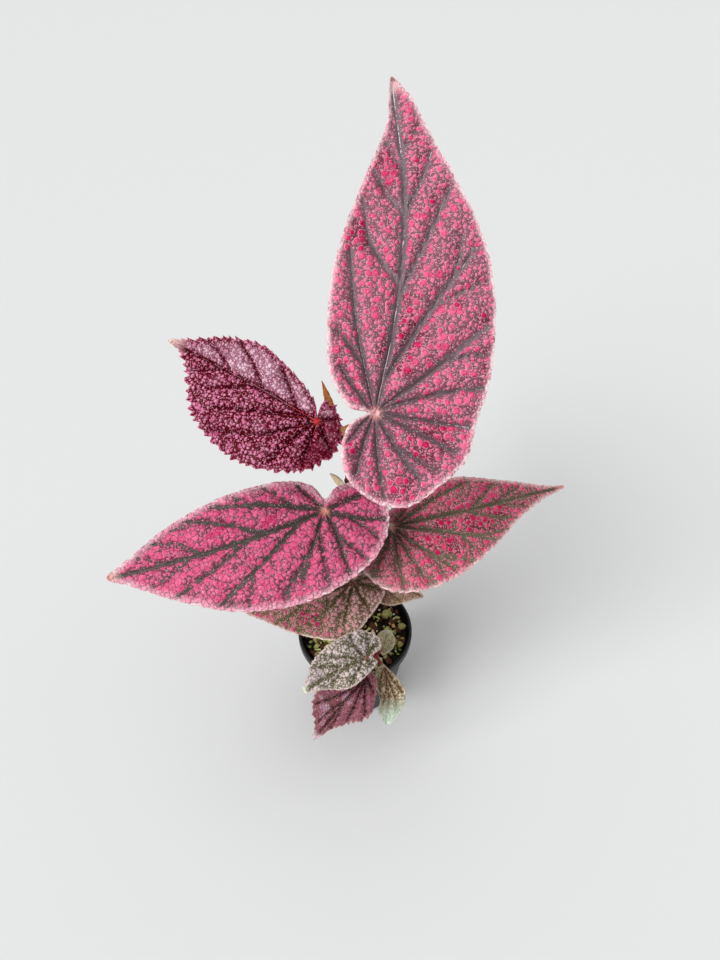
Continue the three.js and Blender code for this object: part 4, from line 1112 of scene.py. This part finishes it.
def add_fringe(sheets, leaf, top):
    """Short hairs along the edge, which is the last ring of the upper face's points."""
    columns = top.shape[1]
    spot = rng.uniform(0, columns - 1.001, int(columns * FRINGE_HAIRS))
    low = spot.astype(int)
    part = (spot - low)[:, None]
    middle = leaf_axes(leaf)[3] * (BLADE_THICKNESS / 2)
    roots = top[-1][low] * (1 - part) + top[-1][low + 1] * part - middle
    aim = unit(top[-1] - top[-3])[low] + rng.normal(0, 0.35, (len(low), 3))
    length = rng.uniform(0.3, 1.0, len(low)) * MARGIN_FRINGE
    sheets.add(*hairs(roots, aim, length, np.full(len(low), FRINGE_HAIR)), FRINGE)


def make_blade(name, leaf, look):
    """The blade with its veins, the star of hairs over the petiole and the fringe on its edge."""
    sheets = Sheets()
    outline, tooth = toothed_outline(leaf)
    lines = vein_lines(leaf)
    top = add_faces(sheets, leaf, outline, tooth, lines)
    add_ribs(sheets, leaf, outline, lines, look["ridge"])
    add_star(sheets, leaf, np.hypot(outline[:, 0], outline[:, 1]).max())
    add_fringe(sheets, leaf, top)
    materials = [blade_material(name, leaf, look), back_material(name, look), line_material(name, look),
                 FINISH["rib"], FINISH["star_hair"], FINISH["fringe"]]
    sheets.finish("blade_" + name, materials, ["leaf_" + name], look["slot"])


def make_petiole(name, leaf):
    """The stalk: a cubic curve from its node to the underside of the blade, with hairs all round it."""
    up = leaf_axes(leaf)[3]
    start = np.array(leaf["start"], float)
    end = np.array(leaf["attach"], float) - up * (BLADE_THICKNESS / 2)
    reach = np.linalg.norm(end - start)
    a = start + unit(leaf["away"]) * reach * 0.4
    b = end - up * reach * 0.35
    t = np.linspace(0, 1, PETIOLE_STEPS)[:, None]
    path = (1 - t) ** 3 * start + 3 * (1 - t) ** 2 * t * a + 3 * (1 - t) * t ** 2 * b + t ** 3 * end
    thick, thin = leaf["stalk"]
    run = t[:, 0]
    radius = thick + (thin - thick) * np.minimum(1, 1.5 * run)
    radius = radius * (1 + 0.25 * smooth(0.12, 0.0, run) + 0.12 * smooth(0.93, 1.0, run))
    sheets = Sheets()
    sheets.add(*tube(path, radius, PETIOLE_SIDES, lumps=0.07), 0)
    tangent, side, other = frames_along(path)
    many = int(reach * STALK_HAIRS)
    spot = rng.uniform(3, PETIOLE_STEPS - 2, many)
    low = spot.astype(int)
    angle = rng.uniform(0, 2 * math.pi, many)
    out = np.cos(angle)[:, None] * side[low] + np.sin(angle)[:, None] * other[low]
    middle = path[low] + (path[low + 1] - path[low]) * (spot - low)[:, None]
    aim = out + 0.5 * tangent[low] + rng.normal(0, 0.3, (many, 3))
    length = rng.uniform(0.5, 1.5, many)
    sheets.add(*hairs(middle + out * radius[low][:, None] * 0.95, aim, length, np.full(many, STALK_HAIR)), 1)
    sheets.finish("stalk_" + name, [FINISH["petiole"], FINISH["stalk_hair"]], ["petiole_" + name],
                  "petiole_skin")


def make_stem(name, stem):
    """A jointed stem: a round bar through the path, thicker at each node, with a scar ring above it."""
    line = resample(spline(stem["path"], 16), STEM_STEPS)
    chord = np.linalg.norm(np.diff(np.array(stem["path"], float), axis=0), axis=1)
    stations = np.concatenate([[0], np.cumsum(chord)]) / chord.sum()
    radius = np.interp(np.linspace(0, 1, STEM_STEPS), stations, stem["radii"])
    for height in stem["heights"]:
        off = line[:, 2] - height
        radius = radius + stem["swell"] * np.exp(-(off / 3.2) ** 2) + 0.3 * np.exp(-((off - 1.4) / 0.5) ** 2)
    sheets = Sheets()
    sheets.add(*tube(line, radius, stem["sides"], lumps=0.12))
    sheets.finish(name, [FINISH[stem["finish"]]], [stem["node"]], stem["slot"])


def make_stipule(name, bract):
    """A dry bract: half width w(u) = width/2 sin(pi (0.18 + 0.8 u^0.85)), cupped by v^2 across it, with thin
    raised lines along it and a slightly torn, curled edge."""
    base = np.array(bract["base"], float)
    run = np.array(bract["tip"], float) - base
    length = np.linalg.norm(run)
    along = run / length
    across = unit(np.cross(along, bract["hollow"]))
    out = np.cross(across, along)
    u = np.linspace(0, 1, BRACT_ROWS)[:, None]
    v = np.linspace(-1, 1, BRACT_COLUMNS)[None, :]
    half = bract["width"] / 2 * np.maximum(0.04, np.sin(math.pi * (0.18 + 0.8 * u ** 0.85)))
    tear = 1 + 0.05 * np.sin(37 * u) * np.abs(v) ** 3
    lift = bract["cup"] * ((v * v - bract["sink"]) * half / bract["width"] * 2 - 0.5 * u * u)
    lift = lift + 0.06 * np.cos(9 * math.pi * v) + 0.25 * np.sin(5 * u + 2 * v) * np.abs(v)
    sheets = Sheets()
    middle = base + u[..., None] * length * along + (v * half * tear)[..., None] * across
    rows, columns = lift.shape
    front = middle + (lift + BRACT_THICKNESS / 2)[..., None] * out
    back = middle + (lift - BRACT_THICKNESS / 2)[..., None] * out
    faces = grid_faces(rows, columns)
    sheets.add(front, faces)
    sheets.add(back, faces[:, ::-1])
    loop = np.concatenate([np.arange(columns), np.arange(1, rows) * columns + columns - 1,
                           (rows - 1) * columns + np.arange(columns - 2, -1, -1),
                           np.arange(rows - 2, 0, -1) * columns])
    rim = np.stack([front.reshape(-1, 3)[loop], back.reshape(-1, 3)[loop]])
    sheets.add(rim, grid_faces(2, len(loop), wrap=True, flip=True))
    finish = FINISH[{"stipule_spike": "spike", "stipule_tan": "tan"}.get(name, "bract")]
    sheets.finish(name + "_bract", [finish], [name], "dry_bract")


# ---------------------------------------------------------------- pot and mix


def inner_radius(z):
    """The pot's inner wall at height z."""
    return POT_BASE + (POT_BODY - POT_BASE) / (POT_HEIGHT - POT_BAND) * z - POT_WALL


def mix_level(x, y):
    """Hummocks of the mix: the level plus three crossing waves."""
    waves = np.sin(x * 0.21 + y * 0.09) + np.sin(y * 0.26 - x * 0.12 + 1.1) + np.sin((x + y) * 0.37)
    return MIX_LEVEL + MIX_BUMP * waves / 1.5


def make_pot():
    """The pot: a profile turned round the axis, with a rolled rim, a band under it and its drain holes."""
    band = POT_HEIGHT - POT_BAND
    inner = POT_RIM - POT_WALL
    corners = [(0.01, 0), (12, 0), (POT_BASE - 1.6, 0), (POT_BASE - 0.5, 0.3), (POT_BASE, 1.2),
               (POT_BASE + 4.2, 31), (POT_BODY - 0.1, band - 0.8), (POT_BODY + 0.1, band - 0.1),
               (POT_RIM - 0.9, band + 0.3), (POT_RIM - 0.25, band + 0.9), (POT_RIM - 0.05, band + 2),
               (POT_RIM, POT_HEIGHT - 1.4), (POT_RIM - 0.15, POT_HEIGHT - 0.5), (POT_RIM - 0.6, POT_HEIGHT),
               (inner - 0.3, POT_HEIGHT), (inner - 0.75, POT_HEIGHT - 0.5), (inner - 0.9, POT_HEIGHT - 1.5),
               (inner_radius(band) + 0.2, band + 0.2), (inner_radius(band), band - 0.8),
               (inner_radius(30), 30), (inner_radius(POT_FLOOR) + 0.1, POT_FLOOR + 1), (26, POT_FLOOR),
               (12, POT_FLOOR), (0.01, POT_FLOOR)]
    profile = spline(corners, 3)
    profile[:, 1] = np.maximum(profile[:, 1], 0)
    turn = np.linspace(0, 2 * math.pi, POT_SIDES, endpoint=False)
    radius, height = profile[:, :1], profile[:, 1:]
    points = np.stack([radius * np.cos(turn), radius * np.sin(turn), height * np.ones(len(turn))], -1)
    points[0, :, :2] = 0
    points[-1, :, :2] = 0
    sheets = Sheets()
    sheets.add(points, grid_faces(len(profile), len(turn), wrap=True))
    pot = sheets.finish("nursery_pot", [FINISH["pot"]], ["pot"], "pot_plastic")
    cut_drain_holes(pot)


def cut_drain_holes(pot):
    """Cuts the drain holes, which stand in a circle, through the pot's base."""
    cutter = Sheets()
    around = np.linspace(0, 2 * math.pi, DRAIN_SIDES, endpoint=False)
    for k in range(DRAIN_HOLES):
        at = 2 * math.pi * k / DRAIN_HOLES
        hub = np.array([DRAIN_CIRCLE * math.cos(at), DRAIN_CIRCLE * math.sin(at), 0])
        ring = np.stack([np.cos(around) * DRAIN_RADIUS + hub[0], np.sin(around) * DRAIN_RADIUS + hub[1],
                         0 * around], -1)
        low, high = (0, 0, -2), (0, 0, 2 * POT_FLOOR)
        stack = [hub + 0 * ring + low, ring + low, ring + high, hub + 0 * ring + high]
        cutter.add(np.stack(stack), grid_faces(4, DRAIN_SIDES, wrap=True))
    tool = cutter.finish("drain_cutter", [])
    cut = pot.modifiers.new("drain", "BOOLEAN")
    cut.operation = "DIFFERENCE"
    cut.solver = "EXACT"
    cut.object = tool
    baked = bpy.data.meshes.new_from_object(pot.evaluated_get(bpy.context.evaluated_depsgraph_get()))
    clean = bmesh.new()
    clean.from_mesh(baked)
    bmesh.ops.dissolve_degenerate(clean, dist=0.002 * MM, edges=clean.edges)
    clean.to_mesh(baked)
    clean.free()
    pot.modifiers.clear()
    pot.data = baked
    bpy.data.objects.remove(tool)


def chips(places, half, turns, tilts, squareness, rough, rows=7, columns=9):
    """Rough grains: superellipsoids |x|^p + |y|^p + |z|^p = 1 of the given half sizes, with lumps, each
    turned and tilted at its place. Returns the points and faces of all of them."""
    count = len(places)
    v = np.linspace(0, math.pi, rows)[None, :, None]
    u = np.linspace(0, 2 * math.pi, columns, endpoint=False)[None, None, :]
    ball = np.stack(np.broadcast_arrays(np.sin(v) * np.cos(u), np.sin(v) * np.sin(u), np.cos(v)), -1)
    norm = (np.abs(ball) ** squareness).sum(-1, keepdims=True) ** (1 / squareness)
    shape = np.repeat(ball / norm, count, axis=0)
    shift = rng.uniform(0, 40, (count, 1, 1, 3))
    spot = shape * 1.7 + shift
    lump = 1 + rough * wavy(spot[..., 0], spot[..., 1], spot[..., 2], 1.6, 2)
    shape = shape * lump[..., None] * np.asarray(half)[:, None, None, :]
    c, s = np.cos(tilts)[:, None, None], np.sin(tilts)[:, None, None]
    x, y, z = shape[..., 0], shape[..., 1] * c - shape[..., 2] * s, shape[..., 1] * s + shape[..., 2] * c
    c, s = np.cos(turns)[:, None, None], np.sin(turns)[:, None, None]
    points = np.stack([x * c - y * s, x * s + y * c, z], -1) + np.asarray(places)[:, None, None, :]
    faces = grid_faces(rows, columns, wrap=True, flip=True)
    many = (faces[None] + (np.arange(count) * rows * columns)[:, None, None]).reshape(-1, 4)
    return points.reshape(-1, 3), many


def scatter(count, outer, low, high, flatness, sink):
    """Random places on the mix within a circle, and half sizes between low and high, sunk by a share of their
    height."""
    radius = outer * np.sqrt(rng.uniform(0, 1, count))
    angle = rng.uniform(0, 2 * math.pi, count)
    x, y = radius * np.cos(angle), radius * np.sin(angle)
    size = rng.uniform(low, high, count) * rng.uniform(0.75, 1.0, count)
    depth = size * rng.uniform(0.6, 1, count)
    half = np.stack([size, depth, size * flatness * rng.uniform(0.7, 1, count)], -1)
    z = mix_level(x, y) + half[:, 2] * (1 - 2 * sink)
    return np.stack([x, y, z], -1), half


def add_bed(sheets, edge):
    """The body of the mix: its rough top, its side along the pot's wall and its base."""
    bottom = POT_FLOOR + 0.3
    radius = np.linspace(0, edge, MIX_RINGS)[:, None]
    turn = np.linspace(0, 2 * math.pi, MIX_SIDES, endpoint=False)[None, :]
    x, y = radius * np.cos(turn), radius * np.sin(turn)
    bed = np.stack([x, y, mix_level(x, y) + 0.8 * wavy(x, y, 0 * x, 0.9, 4) - 0.6], -1)
    sheets.add(bed, grid_faces(MIX_RINGS, MIX_SIDES, wrap=True, flip=True))
    levels = np.array([[1.0], [0.5], [0.0]]) * (MIX_LEVEL - 1 - bottom) + bottom
    side = inner_radius(levels) - MIX_GAP
    wall = np.stack([side * np.cos(turn), side * np.sin(turn), levels + 0 * turn], -1)
    wall[0] = bed[-1]
    hub = np.zeros((1, MIX_SIDES, 3))
    hub[..., 2] = bottom
    sheets.add(np.concatenate([wall, hub]), grid_faces(4, MIX_SIDES, wrap=True, flip=True))


def add_litter(sheets, edge):
    """What lies on the mix: the grains, each kind by its own rule, then brown fibres and pale slivers."""
    for finish, count, low, high, flat, sink, square, rough in GRAINS:
        places, half = scatter(count, edge - 1.6, low, high, flat, sink)
        turns = rng.uniform(0, 6.3, count)
        tilts = rng.normal(0, 0.35, count)
        sheets.add(*chips(places, half, turns, tilts, square, rough), MIX_FINISHES.index(finish))
    for _ in range(FIBRES):
        centre, _ = scatter(1, edge - 5, 1, 1, 1, 0)
        bend = rng.normal(0, 1, (4, 3)) * (2.2, 2.2, 0.5)
        path = spline(centre[0] + np.cumsum(bend, axis=0) + (0, 0, 0.5), 6)
        path[:, 2] = np.maximum(path[:, 2], mix_level(path[:, 0], path[:, 1]) - 0.2)
        sheets.add(*tube(path, FIBRE_RADIUS, 5), MIX_FINISHES.index("bark"))
    for _ in range(SLIVERS):
        centre, _ = scatter(1, edge - 4, 1, 1, 1, 0)
        turn = rng.uniform(0, 2 * math.pi)
        run = np.linspace(-1, 1, 7)[:, None]
        path = centre[0] + run * rng.uniform(1.4, 3.0) * (math.cos(turn), math.sin(turn), 0.25) + (0, 0, 1.0)
        radius = SLIVER_RADIUS * np.sqrt(1.02 - run[:, 0] ** 2)
        sheets.add(*tube(path, radius, 6), MIX_FINISHES.index("sliver"))


def make_mix():
    """The fill of the pot: a rough bed, and on it grains, bark bits, moss and fibres."""
    sheets = Sheets()
    edge = inner_radius(MIX_LEVEL) - MIX_GAP
    add_bed(sheets, edge)
    add_litter(sheets, edge)
    sheets.finish("mix_bed", [FINISH[name] for name in MIX_FINISHES], ["potting_mix"], "potting_mix")


def make_stones():
    """The larger loose pieces on the mix: grains of the same rule, finer and each its own."""
    for name, ((x, y), half, turn) in STONES.items():
        kind = name.split("_")[0]
        share, square, rough = STONE_KINDS[kind]
        place = (x, y, float(mix_level(x, y)) + half[2] * 0.35)
        half = np.array([half]) * share
        sheets = Sheets()
        sheets.add(*chips([place], half, np.array([turn]), np.zeros(1), square, rough, STONE_ROWS,
                          STONE_COLUMNS))
        sheets.finish(name + "_piece", [FINISH[kind]], [name], kind)


# ---------------------------------------------------------------- the plant

make_camera()

FINISH = {
    "pot": plain_material("pot_black", (10, 10, 11), (17, 17, 18), 0.8, 0.42, 0.04, shine=0.32),
    "soil": plain_material("soil_dark", (11, 7, 4), (36, 24, 12), 1.2, 0.95, 0.35, shine=0.2),
    "pumice": plain_material("pumice_olive", (184, 178, 112), (122, 120, 64), 1.0, 0.88, 0.25,
                             ((84, 82, 40), 0.9, 0.3), shine=0.3),
    "grit": plain_material("grit_tan", (214, 176, 122), (164, 120, 74), 0.9, 0.85, 0.22, shine=0.3),
    "perlite": plain_material("perlite_pale", (238, 234, 206), (214, 204, 160), 0.8, 0.85, 0.2, shine=0.3),
    "bark": plain_material("bark_brown", (96, 54, 30), (46, 26, 16), 0.7, 0.85, 0.3, None, (0.4, 1.6, 1.6),
                           0.3),
    "moss": plain_material("moss_green", (150, 170, 60), (86, 104, 34), 0.5, 0.9, 0.3, shine=0.3),
    "sliver": plain_material("sliver_green", (206, 214, 146), (150, 168, 84), 0.8, 0.6, 0.15, shine=0.4),
    "cane": plain_material("cane_skin", (108, 34, 32), (78, 28, 26), 1.6, 0.5, 0.15,
                           ((176, 132, 112), 2.6, 0.2), (1, 1, 0.4)),
    "shoot": plain_material("shoot_skin", (138, 58, 52), (104, 46, 38), 1.4, 0.5, 0.12,
                            ((190, 150, 124), 2.2, 0.18), (1, 1, 0.4)),
    "petiole": plain_material("petiole_skin", (168, 56, 58), (126, 40, 42), 1.2, 0.45, 0.12,
                              ((212, 146, 134), 1.6, 0.2), (1, 1, 0.5)),
    "rib": plain_material("rib_skin", (168, 76, 84), (140, 56, 62), 1.2, 0.5, 0.08),
    "star_hair": plain_material("star_hair", (236, 168, 158), (222, 140, 140), 1.0, 0.6, 0.02),
    "fringe": plain_material("fringe_hair", (230, 190, 190), (214, 160, 166), 1.0, 0.6, 0.02),
    "stalk_hair": plain_material("stalk_hair", (226, 176, 168), (196, 116, 116), 1.0, 0.6, 0.02),
    "bract": plain_material("bract_dry", (250, 228, 194), (238, 204, 158), 1.1, 0.6, 0.1, None, (1, 1, 0.3)),
    "tan": plain_material("bract_tan", (236, 186, 112), (214, 150, 76), 1.1, 0.6, 0.1, None, (1, 1, 0.3)),
    "spike": plain_material("bract_brown", (232, 158, 84), (160, 88, 42), 1.1, 0.55, 0.1, None, (1, 1, 0.3)),
}

for dry in ("bract", "tan", "spike"):
    let_light_in(FINISH[dry])

make_floor()
make_light()
make_pot()
make_mix()
make_stones()
for stem_name, stem_data in STEMS.items():
    make_stem(stem_name, stem_data)
for leaf_name, leaf_data in LEAVES.items():
    make_blade(leaf_name, leaf_data, LOOKS[leaf_name])
    make_petiole(leaf_name, leaf_data)
for bract_name, bract_data in STIPULES.items():
    make_stipule(bract_name, bract_data)

bpy.context.view_layer.update()
